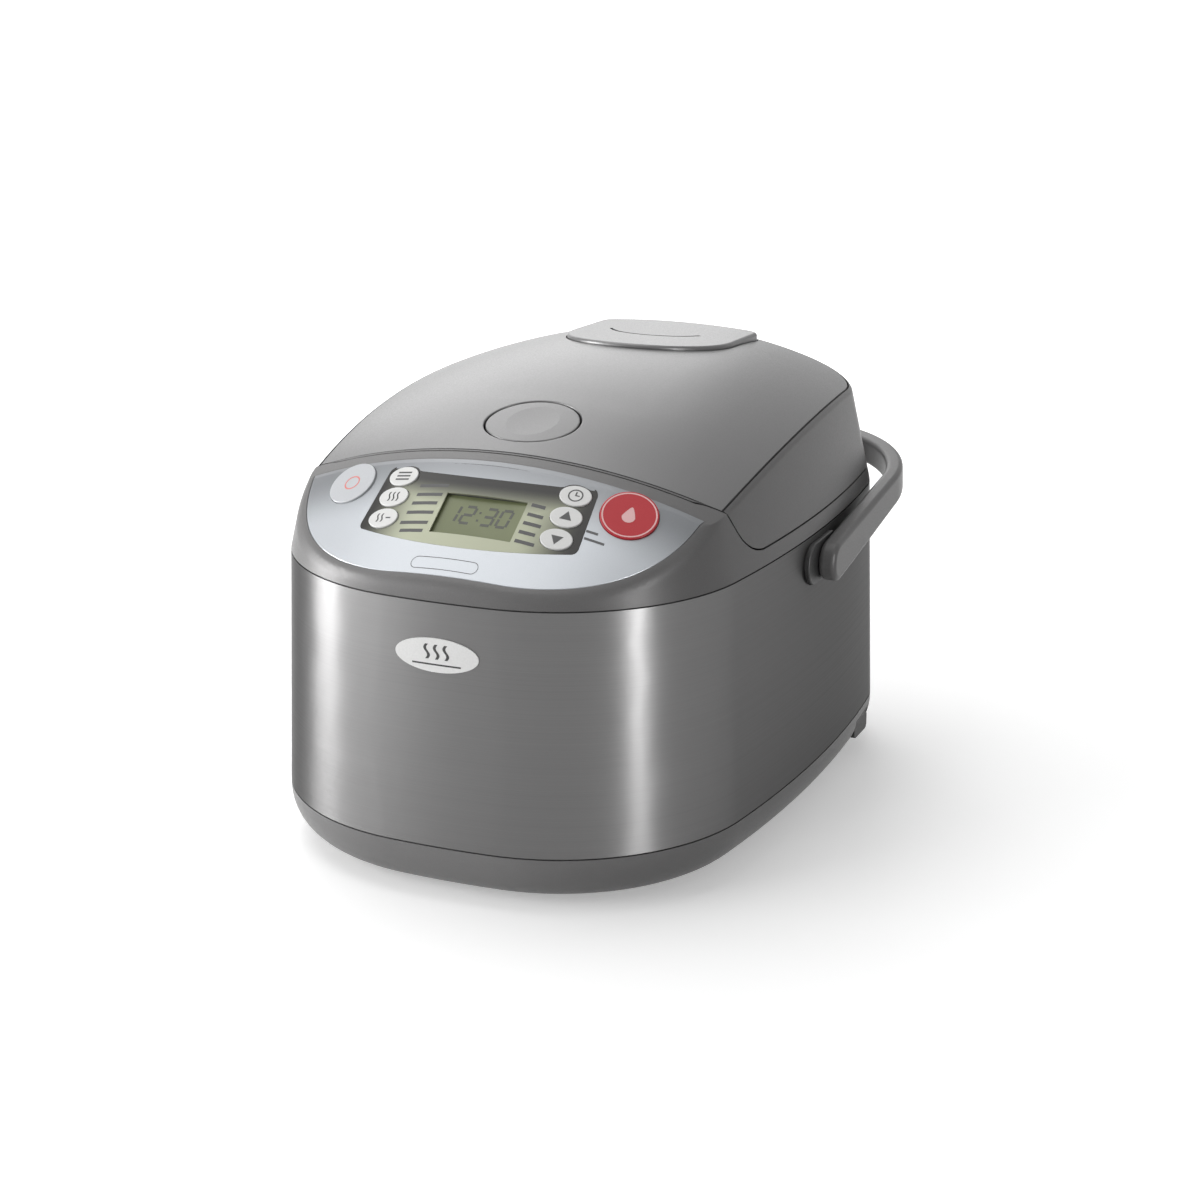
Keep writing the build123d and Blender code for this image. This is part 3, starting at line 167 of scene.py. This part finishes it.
# Feet: four soft black discs pressed into the base.
# They are the only pieces that meet the table.
foot_rubber = moulded("foot_rubber", (0.018, 0.018, 0.018), (0.028, 0.027, 0.026),
                      roughness=0.8, speck=1800, depth=4e-5)
dress("rubber_feet", foot_rubber)


# Plug bay and plug: a black cup let into the base at its right rear, and the mains plug parked
# in it. Both are moulded, the plug in a softer dark grey.
black_plastic = moulded("black_plastic", (0.012, 0.012, 0.012), (0.02, 0.02, 0.02),
                        roughness=0.5, speck=2200, depth=2e-5)
plug_plastic = moulded("plug_plastic", (0.035, 0.035, 0.034), (0.05, 0.05, 0.048),
                       roughness=0.55, speck=1500, depth=4e-5)
dress("plug_bay", black_plastic)
dress("plug", plug_plastic)


# Steel wrap: one sheet of stainless steel brushed along the girth, closed at the back.
# The fine scratches run round it and stretch the light up and down.
# Painted shade: the steel's colour is set far darker than bare stainless, standing in for the dark
# surroundings it reflects.
steel, steel_tree, steel_shader = finish("brushed_wrap", (0.142, 0.141, 0.141), 0.34, metallic=1.0)
steel_shader.inputs["Anisotropic"].default_value = 0.8
steel_shader.inputs["Anisotropic Rotation"].default_value = 0.25
steel_shader.inputs["Specular Tint"].default_value = (0.42, 0.42, 0.42, 1.0)
scratch = grain(steel_tree, scale=1.0, detail=4.0, stretch=(1.5, 1.5, 3200))
long_scratch = grain(steel_tree, scale=1.0, detail=2.0, stretch=(0.8, 0.8, 900))
tint(steel_tree, scratch, steel_shader.inputs["Base Color"],
     (0.137, 0.136, 0.136), (0.147, 0.146, 0.146))
spread(steel_tree, long_scratch, steel_shader.inputs["Roughness"], low=0.31, high=0.37)
roughen(steel_tree, scratch, steel_shader, strength=0.04, height=1e-5)
around = steel_tree.nodes.new("ShaderNodeTangent")
around.direction_type = "RADIAL"
around.axis = "Z"
steel_tree.links.new(around.outputs["Tangent"], steel_shader.inputs["Tangent"])
dress("steel_wrap", steel)


# Badge plate: a white oval stuck on the steel front. Its face has a mark of three rising
# heat waves over a thin rule, printed in black. Marks are drawn in millimetres.
MM = 0.001
PRINT_LIFT = 0.05 * MM
CAST_FROM = 0.4
WAVE_STEPS = 16
BADGE_WAVE_GAP = 5.5
BADGE_RULE_HALF = 14.0
BADGE_RULE_HEIGHT = 131.8


def rule_mark(bm, start, end, width, steps=6):
    """Straight bar between two points on the flat."""
    along = Vector(end) - Vector(start)
    middle = (Vector(end) + Vector(start)) / 2
    turn = Matrix.Rotation(math.atan2(along.y, along.x), 4, "Z")
    size = Matrix.Diagonal((along.length, width, 1.0, 1.0))
    bmesh.ops.create_grid(bm, x_segments=steps, y_segments=1, size=0.5,
                          matrix=Matrix.Translation(middle.to_3d()) @ turn @ size)


def wave_mark(bm, u, low, high, sway, width):
    """Upright stroke that sways once each way."""
    left = bm.verts.new((u - width / 2, low, 0))
    right = bm.verts.new((u + width / 2, low, 0))
    edge = bm.edges.new((left, right))
    swayed = 0.0
    for i in range(1, WAVE_STEPS + 1):
        made = bmesh.ops.extrude_edge_only(bm, edges=[edge])["geom"]
        ends = [part for part in made if isinstance(part, bmesh.types.BMVert)]
        edge = next(part for part in made if isinstance(part, bmesh.types.BMEdge)
                    and all(v in ends for v in part.verts))
        aside = sway * math.sin(math.tau * i / WAVE_STEPS)
        bmesh.ops.translate(bm, verts=ends, vec=(aside - swayed, (high - low) / WAVE_STEPS, 0))
        swayed = aside


def print_on(name, bm, node, material, place, beside=()):
    """Drops a flat mark from a placed plane onto a node's skin, a hair above it, to ride along with
    it. A mark may run on over nodes that lie beside it on the same body."""
    ground = bmesh.new()
    for carrier in (node, *beside):
        ground.from_mesh(frame["nodes"][carrier].data)
    skin = BVHTree.FromBMesh(ground)
    ground.free()
    aim = -place.col[2].to_3d()
    for v in bm.verts:
        spot, normal, _, _ = skin.ray_cast(place @ (v.co * MM), aim)
        v.co = spot + normal * PRINT_LIFT
    bm.normal_update()
    bmesh.ops.reverse_faces(bm, faces=[face for face in bm.faces if face.normal.dot(aim) > 0])
    mesh = bpy.data.meshes.new(name)
    bm.to_mesh(mesh)
    bm.free()
    mesh.materials.append(material)
    piece = bpy.data.objects.new(name, mesh)
    bpy.context.scene.collection.objects.link(piece)
    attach(piece, BODY_OF[node])


badge_white = moulded("badge_white", (0.70, 0.70, 0.695), (0.74, 0.74, 0.735),
                      roughness=0.4, speck=900, depth=5e-6)
dress("badge_plate", badge_white)
black_ink = moulded("black_ink", (0.014, 0.014, 0.014), (0.024, 0.024, 0.024),
                    roughness=0.45, speck=4000, depth=2e-6)
bm = bmesh.new()
for u in (-BADGE_WAVE_GAP, 0.0, BADGE_WAVE_GAP):
    wave_mark(bm, u, low=134.6, high=142.6, sway=1.1, width=1.7)
rule_mark(bm, (-BADGE_RULE_HALF, BADGE_RULE_HEIGHT), (BADGE_RULE_HALF, BADGE_RULE_HEIGHT),
          width=0.9, steps=14)
before_front = Matrix.Translation((0, -CAST_FROM, 0)) @ Matrix.Rotation(math.pi / 2, 4, "X")
print_on("badge_mark", bm, "badge_plate", black_ink, before_front)


# Top frame: the grey rim over the steel, with the sloped front under the control panel
# and the deck round the pan's opening. One moulding.
dress("top_frame", grey_plastic)


# Panel overlay: a silver film with satin lacquer that covers the sloped front, with painted shade
# that darkens it towards its top for the darker reflection there. An empty outlined slot lies below the
# window, two plain rules at its right.
PANEL_FRONT = -152 * MM
PANEL_BACK = -118 * MM
PANEL_TOP_PAINTED_SHADE = 0.42
HOOP_STEPS = 48
SLOT_LEFT = -17.5
SLOT_RIGHT = 13.9
SLOT_MIDDLE = -178.9
SLOT_RADIUS = 3.2
SLOT_LINE = 0.35
SIDE_RULE = 1.3


def own_axes(tree):
    """The piece's own coordinates, axis by axis."""
    place = tree.nodes.new("ShaderNodeTexCoord")
    axes = tree.nodes.new("ShaderNodeSeparateXYZ")
    tree.links.new(place.outputs["Object"], axes.inputs["Vector"])
    return axes.outputs


def fade(tree, value, near, far, start=0.0, end=1.0):
    """Smooth run from one amount to another, between two marks of a value."""
    run = tree.nodes.new("ShaderNodeMapRange")
    run.interpolation_type = "SMOOTHSTEP"
    run.inputs["From Min"].default_value = near
    run.inputs["From Max"].default_value = far
    run.inputs["To Min"].default_value = start
    run.inputs["To Max"].default_value = end
    tree.links.new(value, run.inputs["Value"])
    return run.outputs["Result"]


def hoop_mark(bm, centre, radius, width, start=0.0, angle=math.tau):
    """Round stroke, or part of one, spun about a point."""
    older = set(bm.verts)
    ends = [bm.verts.new((reach * math.cos(start), reach * math.sin(start), 0))
            for reach in (radius - width / 2, radius + width / 2)]
    edge = bm.edges.new(ends)
    bmesh.ops.spin(bm, geom=[*ends, edge], cent=(0, 0, 0), axis=(0, 0, 1), angle=angle,
                   steps=HOOP_STEPS, use_merge=angle == math.tau)
    fresh = [v for v in bm.verts if v not in older]
    bmesh.ops.translate(bm, verts=fresh, vec=(*centre, 0.0))


silver_film = moulded("silver_film", (0.40, 0.42, 0.445), (0.43, 0.45, 0.475),
                      roughness=0.36, speck=3000, depth=3e-6, metallic=0.3)
silver_tree = silver_film.node_tree
silver_colour = silver_tree.nodes["Principled BSDF"].inputs["Base Color"]
silver_flake = silver_colour.links[0].from_socket
# Painted shade: the film's colour darkens towards its top, standing in for the darker reflection there.
silver_painted_shade = fade(silver_tree, own_axes(silver_tree)["Y"], PANEL_FRONT, PANEL_BACK,
                    start=1.0, end=PANEL_TOP_PAINTED_SHADE)
silver_painted_shading = silver_tree.nodes.new("ShaderNodeVectorMath")
silver_painted_shading.operation = "SCALE"
silver_tree.links.new(silver_flake, silver_painted_shading.inputs[0])
silver_tree.links.new(silver_painted_shade, silver_painted_shading.inputs["Scale"])
silver_tree.links.new(silver_painted_shading.outputs["Vector"], silver_colour)
dress("panel_overlay", silver_film)
grey_ink = moulded("grey_ink", (0.05, 0.05, 0.052), (0.07, 0.07, 0.072),
                   roughness=0.5, speck=4000, depth=2e-6)
bm = bmesh.new()
for end, start in ((SLOT_RIGHT, -math.pi / 2), (SLOT_LEFT, math.pi / 2)):
    hoop_mark(bm, (end, SLOT_MIDDLE), SLOT_RADIUS, SLOT_LINE, start, angle=math.pi)
for v in (SLOT_MIDDLE - SLOT_RADIUS, SLOT_MIDDLE + SLOT_RADIUS):
    rule_mark(bm, (SLOT_LEFT, v), (SLOT_RIGHT, v), SLOT_LINE, steps=14)
rule_mark(bm, (62.5, -143.6), (69.0, -143.2), SIDE_RULE)
rule_mark(bm, (63.0, -147.6), (74.0, -146.9), SIDE_RULE)
above = Matrix.Translation((0, 0, CAST_FROM))
print_on("panel_marks", bm, "panel_overlay", grey_ink, above)


# Display window: a smooth lens, printed dark along its top and ends and olive in the middle. A
# silver print on it carries the panel down to a bowed edge, darkened like the panel by painted shade. The
# menu's rows are plain rules.
PANEL_EDGE = -120.2
WINDOW_TOP = -121.5
WINDOW_SILL = -128.8
WINDOW_BOW = 495.0
BROW_HALF = 58.0
BROW_COLUMNS = 58
BROW_ROWS = 3
BROW_LEAST = 0.1
KEY_HOLE_X = 50.4
KEY_HOLE_Y = -128.0
KEY_HOLE_WIDE = 9.6
KEY_HOLE_DEEP = 6.3
MENU_LINE = 1.9
MENU_ROWS = (
    (-37.4, -20.5, -134.4), (-36.8, -21.8, -139.7), (-37.2, -22.4, -144.8),
    (-37.6, -22.0, -150.3), (-38.6, -22.4, -156.3), (-36.6, -23.2, -161.0),
    (29.6, 37.4, -138.8), (29.6, 38.4, -144.2), (29.4, 39.4, -149.2),
    (29.2, 38.4, -154.4), (29.2, 40.2, -159.6),
)


def reckon(tree, operation, *amounts):
    """One step of sums on sockets and plain amounts."""
    step = tree.nodes.new("ShaderNodeMath")
    step.operation = operation
    for socket, amount in zip(step.inputs, amounts):
        if isinstance(amount, float):
            socket.default_value = amount
        else:
            tree.links.new(amount, socket)
    return step.outputs["Value"]


window_lens, window_tree, window_shader = finish("window_lens", (0.30, 0.32, 0.19), 0.2, specular=0.2)
window_axes = own_axes(window_tree)
window_side = reckon(window_tree, "ABSOLUTE", window_axes["X"])
window_square = reckon(window_tree, "MULTIPLY", window_axes["X"], window_axes["X"])
window_rise = reckon(window_tree, "MULTIPLY_ADD", window_square, -1 / (WINDOW_BOW * MM), window_axes["Y"])
window_dark = reckon(window_tree, "MAXIMUM",
                     fade(window_tree, window_side, near=30 * MM, far=60 * MM),
                     fade(window_tree, window_rise, near=-148 * MM, far=-132 * MM))
tint(window_tree, window_dark, window_shader.inputs["Base Color"],
     (0.46, 0.48, 0.35), (0.02, 0.019, 0.017), reach=(0.0, 1.0))
spread(window_tree, grain(window_tree, scale=700), window_shader.inputs["Roughness"], low=0.17, high=0.24)
dress("display_window", window_lens)
bm = bmesh.new()
bmesh.ops.create_grid(bm, x_segments=BROW_COLUMNS, y_segments=BROW_ROWS, size=BROW_HALF)
for v in bm.verts:
    low = WINDOW_SILL + v.co.x ** 2 / WINDOW_BOW
    key_side = 1 - ((abs(v.co.x) - KEY_HOLE_X) / KEY_HOLE_WIDE) ** 2
    if key_side > 0:
        low = max(low, KEY_HOLE_Y + KEY_HOLE_DEEP * math.sqrt(key_side))
    low = min(low, WINDOW_TOP - BROW_LEAST)
    edges = (low, (low + WINDOW_TOP) / 2, WINDOW_TOP, PANEL_EDGE)
    v.co.y = edges[round((v.co.y / BROW_HALF + 1) / 2 * BROW_ROWS)]
# The brow wears the silver film, so it carries the panel's painted shade too.
print_on("window_brow", bm, "display_window", silver_film, above, ("panel_overlay",))
bm = bmesh.new()
for near, far, v in MENU_ROWS:
    rule_mark(bm, (near, v), (far, v), MENU_LINE, steps=8)
print_on("window_marks", bm, "display_window", black_ink, above)


# Keys: eight separate caps with crowned faces, white ovals beside the window, a pale pad on
# the left and a red pad on the right. Each has a plain sign printed on it.
KEY_CLEAR = 0.01
KEY_RIM = 1e-5
DROP_ROUND = 3.6
DROP_TIP = 6.8
DROP_PINCH = 0.55
DROP_SHIFT = -1.6
key_white = moulded("key_white", (0.62, 0.62, 0.61), (0.66, 0.66, 0.65),
                    roughness=0.42, speck=2400, depth=8e-6)
key_pale = moulded("key_pale", (0.45, 0.463, 0.483), (0.486, 0.50, 0.52),
                   roughness=0.4, speck=2400, depth=8e-6)
key_red = moulded("key_red", (0.44, 0.018, 0.026), (0.48, 0.024, 0.034),
                  roughness=0.42, speck=2400, depth=8e-6, specular=0.3)
for key in ("menu", "keep_warm", "extended", "timer", "up", "down"):
    dress("key_" + key, key_white)
dress("key_reset", key_pale)
dress("key_cooking", key_red)
pink_ink = moulded("pink_ink", (0.72, 0.42, 0.42), (0.78, 0.48, 0.48),
                   roughness=0.45, speck=4000, depth=2e-6)
rose_ink = moulded("rose_ink", (0.60, 0.16, 0.14), (0.66, 0.20, 0.18),
                   roughness=0.45, speck=4000, depth=2e-6)


def over_key(key):
    """Plane over the middle of a key's face, square to its line of travel."""
    joint = next(j for j in frame["record"]["behaviour"]["joints"] if j["name"] == key + "_press")
    out = -Vector(joint["axis"]).normalized()
    right = Vector((1, 0, 0)) - out * out.x
    right.normalize()
    axes = Matrix((right, out.cross(right), out))
    spots = [axes @ v.co for v in frame["nodes"][key].data.vertices]
    top = max(spot.z for spot in spots)
    rim = [spot for spot in spots if spot.z > top - KEY_RIM]
    middle = Vector(((min(p.x for p in rim) + max(p.x for p in rim)) / 2,
                     (min(p.y for p in rim) + max(p.y for p in rim)) / 2, top + KEY_CLEAR))
    return Matrix.Translation(axes.transposed() @ middle) @ axes.transposed().to_4x4()


bm = bmesh.new()
for v in (-2.4, 0.0, 2.4):
    rule_mark(bm, (-4.2, v), (4.2, v), width=1.1)
print_on("menu_sign", bm, "key_menu", black_ink, over_key("key_menu"))
bm = bmesh.new()
for u in (-2.6, 0.0, 2.6):
    wave_mark(bm, u, low=-3.2, high=3.2, sway=0.55, width=0.9)
print_on("keep_warm_sign", bm, "key_keep_warm", black_ink, over_key("key_keep_warm"))
bm = bmesh.new()
for u in (-3.2, -0.6):
    wave_mark(bm, u, low=-2.9, high=2.9, sway=0.5, width=0.85)
rule_mark(bm, (1.7, 0.0), (4.7, 0.0), width=0.9)
print_on("extended_sign", bm, "key_extended", black_ink, over_key("key_extended"))
bm = bmesh.new()
hoop_mark(bm, (0.0, 0.0), radius=3.7, width=0.8)
rule_mark(bm, (0.0, -0.4), (0.0, 2.5), width=0.8)
rule_mark(bm, (0.4, 0.0), (2.2, 0.0), width=0.8)
print_on("timer_sign", bm, "key_timer", black_ink, over_key("key_timer"))
for key, turn in (("key_up", 0.0), ("key_down", math.pi)):
    bm = bmesh.new()
    bmesh.ops.create_circle(bm, cap_ends=True, segments=3, radius=3.9,
                            matrix=Matrix.Rotation(turn, 4, "Z"))
    print_on(key + "_sign", bm, key, black_ink, over_key(key))
bm = bmesh.new()
hoop_mark(bm, (0.0, 0.0), radius=4.4, width=0.9)
print_on("reset_sign", bm, "key_reset", rose_ink, over_key("key_reset"))
bm = bmesh.new()
hoop_mark(bm, (0.0, 0.0), radius=14.2, width=0.8)
older = set(bm.verts)
bmesh.ops.create_circle(bm, cap_ends=True, cap_tris=True, segments=20, radius=DROP_ROUND)
drop = [v for v in bm.verts if v not in older]
for v in drop:
    if v.co.y > 0:
        rise = v.co.y / DROP_ROUND
        v.co.x *= 1 - DROP_PINCH * rise
        v.co.y = DROP_TIP * rise
bmesh.ops.translate(bm, verts=drop, vec=(0.0, DROP_SHIFT, 0.0))
print_on("cooking_sign", bm, "key_cooking", pink_ink, over_key("key_cooking"))


# Cooking pan, well and heating: a dark coated pan in a bare aluminium well, with the coil,
# sensor, fan, reel and boards of the base below it.
pan_coating = moulded("pan_coating", (0.022, 0.021, 0.02), (0.04, 0.039, 0.037),
                      roughness=0.42, speck=1400, depth=2e-5)
dress("cooking_pan", pan_coating)
bare_aluminium, metal_tree, metal_shader = finish("bare_aluminium", (0.66, 0.66, 0.655), 0.38, metallic=1.0)
spread(metal_tree, grain(metal_tree, scale=900), metal_shader.inputs["Roughness"], low=0.36, high=0.41)
for node in ("pan_well", "inner_lid", "lid_heater", "heat_sink", "sensor_plunger"):
    dress(node, bare_aluminium)
foil, foil_tree, foil_shader = finish("heater_foil", (0.6, 0.6, 0.6), 0.3, metallic=1.0)
roughen(foil_tree, grain(foil_tree, scale=160), foil_shader, strength=0.5, height=4e-4)
dress("side_heater", foil)
copper, copper_tree, copper_shader = finish("coil_copper", (0.55, 0.24, 0.12), 0.35, metallic=1.0)
roughen(copper_tree, grain(copper_tree, scale=600, detail=2.0), copper_shader, strength=0.4, height=2e-4)
dress("induction_coil", copper)
ferrite = moulded("ferrite", (0.02, 0.02, 0.022), (0.035, 0.035, 0.037),
                  roughness=0.7, speck=900, depth=5e-5)
dress("ferrite_bars", ferrite)
board_green = moulded("board_green", (0.012, 0.075, 0.03), (0.02, 0.10, 0.045),
                      roughness=0.4, speck=500, depth=2e-5)
for node in ("power_board", "control_board"):
    dress(node, board_green)
for node in ("fan_housing", "fan_rotor", "cord_reel_case", "cord_reel_drum", "coil_holder",
             "lcd_holder", "tact_switches"):
    dress(node, black_plastic)


# Small steel: pins, springs, screws and hinge plates, all bright plated. The two coil springs
# under the button and the sensor get meshes of their own.
bright_steel, bright_tree, bright_shader = finish("bright_steel", (0.62, 0.62, 0.61), 0.28, metallic=1.0)
spread(bright_tree, grain(bright_tree, scale=350), bright_shader.inputs["Roughness"], low=0.22, high=0.36)
for node in ("hinge_pin", "hinge_springs", "hinge_bracket", "hinge_knuckle", "handle_pins", "base_screws",
             "lid_screws", "latch_strike", "latch_pin", "button_spring", "sensor_spring"):
    dress(node, bright_steel)
for joint in frame["record"]["behaviour"]["joints"]:
    for wound in joint.get("deforming_nodes", ()):
        spring = bpy.data.objects[wound["node"] + "_skin"]
        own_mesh(spring)


# Display: a grey-green liquid crystal glass set back under the window, with the plain digits
# of a clock in dark segments.
DIGIT_FOOT = -152.0
DIGIT_LEAN = 0.12
DIGIT_STROKE = 1.5
DIGITS = ((-15.5, "bc"), (-6.7, "abged"), (5.5, "abgcd"), (14.3, "abcdef"))
SEGMENTS = {
    "a": ((0.4, 9.4), (5.4, 9.4)), "b": ((5.8, 9.0), (5.8, 5.1)), "c": ((5.8, 4.3), (5.8, 0.4)),
    "d": ((0.4, 0.0), (5.4, 0.0)), "e": ((0.0, 4.3), (0.0, 0.4)), "f": ((0.0, 9.0), (0.0, 5.1)),
    "g": ((0.4, 4.7), (5.4, 4.7)),
}
COLON_LEFT = 2.5
COLON_DOT = 1.2
lcd_glass, lcd_tree, lcd_shader = finish("lcd_glass", (0.17, 0.19, 0.10), 0.3, specular=0.2)
tint(lcd_tree, grain(lcd_tree, scale=60), lcd_shader.inputs["Base Color"],
     (0.163, 0.183, 0.095), (0.177, 0.197, 0.105))
dress("lcd_module", lcd_glass)
digit_ink = moulded("digit_ink", (0.024, 0.027, 0.016), (0.030, 0.034, 0.020),
                    roughness=0.5, speck=3000, depth=2e-6)
bm = bmesh.new()
for left, lit in DIGITS:
    for segment in lit:
        start, end = ((left + u + DIGIT_LEAN * v, DIGIT_FOOT + v) for u, v in SEGMENTS[segment])
        rule_mark(bm, start, end, DIGIT_STROKE, steps=3)
for v in (-149.8, -145.4):
    rule_mark(bm, (COLON_LEFT, v), (COLON_LEFT + COLON_DOT, v), COLON_DOT, steps=2)
print_on("clock_digits", bm, "lcd_module", digit_ink, above)


# Lid frame, liner and seals: the grey side walls of the lid, the darker plate under it and
# the pale silicone rings that close on the pan. The button's housing and the latch are black.
dress("lid_frame", grey_plastic)
inner_plastic = moulded("inner_plastic", (0.10, 0.098, 0.095), (0.125, 0.122, 0.118),
                        roughness=0.5, speck=1800, depth=2e-5)
for node in ("lid_liner", "steam_socket"):
    dress(node, inner_plastic)
for node in ("button_housing", "latch_hook"):
    dress(node, black_plastic)
silicone = moulded("silicone", (0.34, 0.34, 0.33), (0.40, 0.40, 0.39),
                   roughness=0.6, speck=700, depth=3e-5)
for node in ("inner_lid_gasket", "steam_gasket"):
    dress(node, silicone)


# Lid cover, button and vent cap: mouldings in satin metallic grey, painted one shade lighter than
# the walls for the light on the lid's top. The button slides in its housing, and the vent cap lifts out of
# the cover.
# Painted light: the same grey as the walls, one shade lighter for the light falling on the lid's top.
cover_plastic = moulded("cover_plastic", (0.142, 0.141, 0.142), (0.158, 0.157, 0.158),
                        roughness=0.36, speck=3000, depth=1.5e-5, metallic=0.3, specular=0.35)
dress("lid_cover", cover_plastic)
dress("lid_button", cover_plastic)
dress("vent_cap", cover_plastic)


# Handle: a bail moulded in the same grey plastic as the walls. It turns on two steel pins,
# in black bosses on the sides of the cooker.
dress("handle", grey_plastic)
dress("handle_bosses", black_plastic)


# Floor and world: a pale floor that runs out to white, and a white surround. The white is
# what the camera and the shiny surfaces see; the light on the cooker comes from the lamps.
FLOOR_HALF = 6.0
WHITE = (1.0, 1.0, 1.0, 1.0)


def seen_rays(tree):
    """One for rays from the camera, mirrors and glass, nought for the others."""
    rays = tree.nodes.new("ShaderNodeLightPath").outputs
    mirrored = reckon(tree, "MAXIMUM", rays["Is Camera Ray"], rays["Is Glossy Ray"])
    return reckon(tree, "MAXIMUM", mirrored, rays["Is Transmission Ray"])


floor_mesh = bpy.data.meshes.new("floor")
floor = bpy.data.objects.new("floor", floor_mesh)
bpy.context.scene.collection.objects.link(floor)
bm = bmesh.new()
bmesh.ops.create_grid(bm, x_segments=1, y_segments=1, size=FLOOR_HALF)
bm.to_mesh(floor_mesh)
bm.free()
floor_paint, floor_tree, floor_shader = finish("floor_paint", (0.84, 0.84, 0.84), 0.7)
floor_shader.inputs["Emission Color"].default_value = WHITE
floor_place = floor_tree.nodes.new("ShaderNodeTexCoord")
floor_reach = floor_tree.nodes.new("ShaderNodeVectorMath")
floor_reach.operation = "LENGTH"
floor_tree.links.new(floor_place.outputs["Object"], floor_reach.inputs[0])
floor_fade = fade(floor_tree, floor_reach.outputs["Value"], near=0.2, far=1.3, start=0.35, end=0.8)
floor_glow = reckon(floor_tree, "MULTIPLY", floor_fade, seen_rays(floor_tree))
floor_tree.links.new(floor_glow, floor_shader.inputs["Emission Strength"])
floor_mesh.materials.append(floor_paint)

world = bpy.data.worlds.new("studio")
bpy.context.scene.world = world
world.use_nodes = True
sky = world.node_tree.nodes["Background"]
sky.inputs["Color"].default_value = WHITE
sky_strength = world.node_tree.nodes.new("ShaderNodeMapRange")
sky_strength.inputs["To Min"].default_value = 0.28
sky_strength.inputs["To Max"].default_value = 1.0
world.node_tree.links.new(seen_rays(world.node_tree), sky_strength.inputs["Value"])
world.node_tree.links.new(sky_strength.outputs["Result"], sky.inputs["Strength"])


# Lamps: a large soft box overhead, a soft box at the left and one behind the lid, and two tall
# strips that only draw the upright bands of light on the steel.
def soft_box(name, place, target, width, height, power):
    """Rectangular lamp that faces a point."""
    lamp = bpy.data.lights.new(name, "AREA")
    lamp.shape = "RECTANGLE"
    lamp.size = width
    lamp.size_y = height
    lamp.energy = power
    lamp_object = bpy.data.objects.new(name, lamp)
    bpy.context.scene.collection.objects.link(lamp_object)
    lamp_object.visible_camera = False
    facing = (Vector(place) - Vector(target)).to_track_quat("Z", "Y")
    lamp_object.matrix_world = Matrix.Translation(place) @ facing.to_matrix().to_4x4()
    return lamp_object


soft_box("overhead", (-0.55, 0.2, 1.75), target=(0, 0, 0.1), width=1.5, height=1.5, power=18)
soft_box("left_box", (-1.0, -1.0, 0.5), target=(0, 0, 0.1), width=0.9, height=0.9, power=12)
soft_box("back_box", (-0.88, 1.55, 1.1), target=(0, 0, 0.2), width=1.2, height=1.4, power=10)
for strip in (
    soft_box("right_strip", (0.92, -0.53, 0.45), target=(0, 0, 0.4), width=0.13, height=0.9, power=9),
    soft_box("left_strip", (-1.1, -0.38, 0.45), target=(0, 0, 0.4), width=0.38, height=0.9, power=26),
):
    strip.visible_diffuse = False


# Camera: the photograph's own view, from the right front and a little above, with a long lens.
# The shift puts the cooker where it stands in the photograph's frame.
CAMERA_AZIMUTH = math.radians(23.11)
CAMERA_ELEVATION = math.radians(17.81)
CAMERA_TARGET = Vector((0, 16 * MM, 107.25 * MM))
CAMERA_DISTANCE = 1523.7 * MM
camera_data = bpy.data.cameras.new("camera")
camera_data.lens = 77.57
camera_data.sensor_width = 36.0
camera_data.shift_x = 0.0032
camera_data.shift_y = -0.0037
camera = bpy.data.objects.new("camera", camera_data)
bpy.context.scene.collection.objects.link(camera)
toward = Vector((
    math.sin(CAMERA_AZIMUTH) * math.cos(CAMERA_ELEVATION),
    -math.cos(CAMERA_AZIMUTH) * math.cos(CAMERA_ELEVATION),
    math.sin(CAMERA_ELEVATION),
))
camera.location = CAMERA_TARGET + toward * CAMERA_DISTANCE
camera.rotation_euler = toward.to_track_quat("Z", "Y").to_euler()
bpy.context.scene.camera = camera
bpy.context.scene.view_settings.view_transform = "Standard"
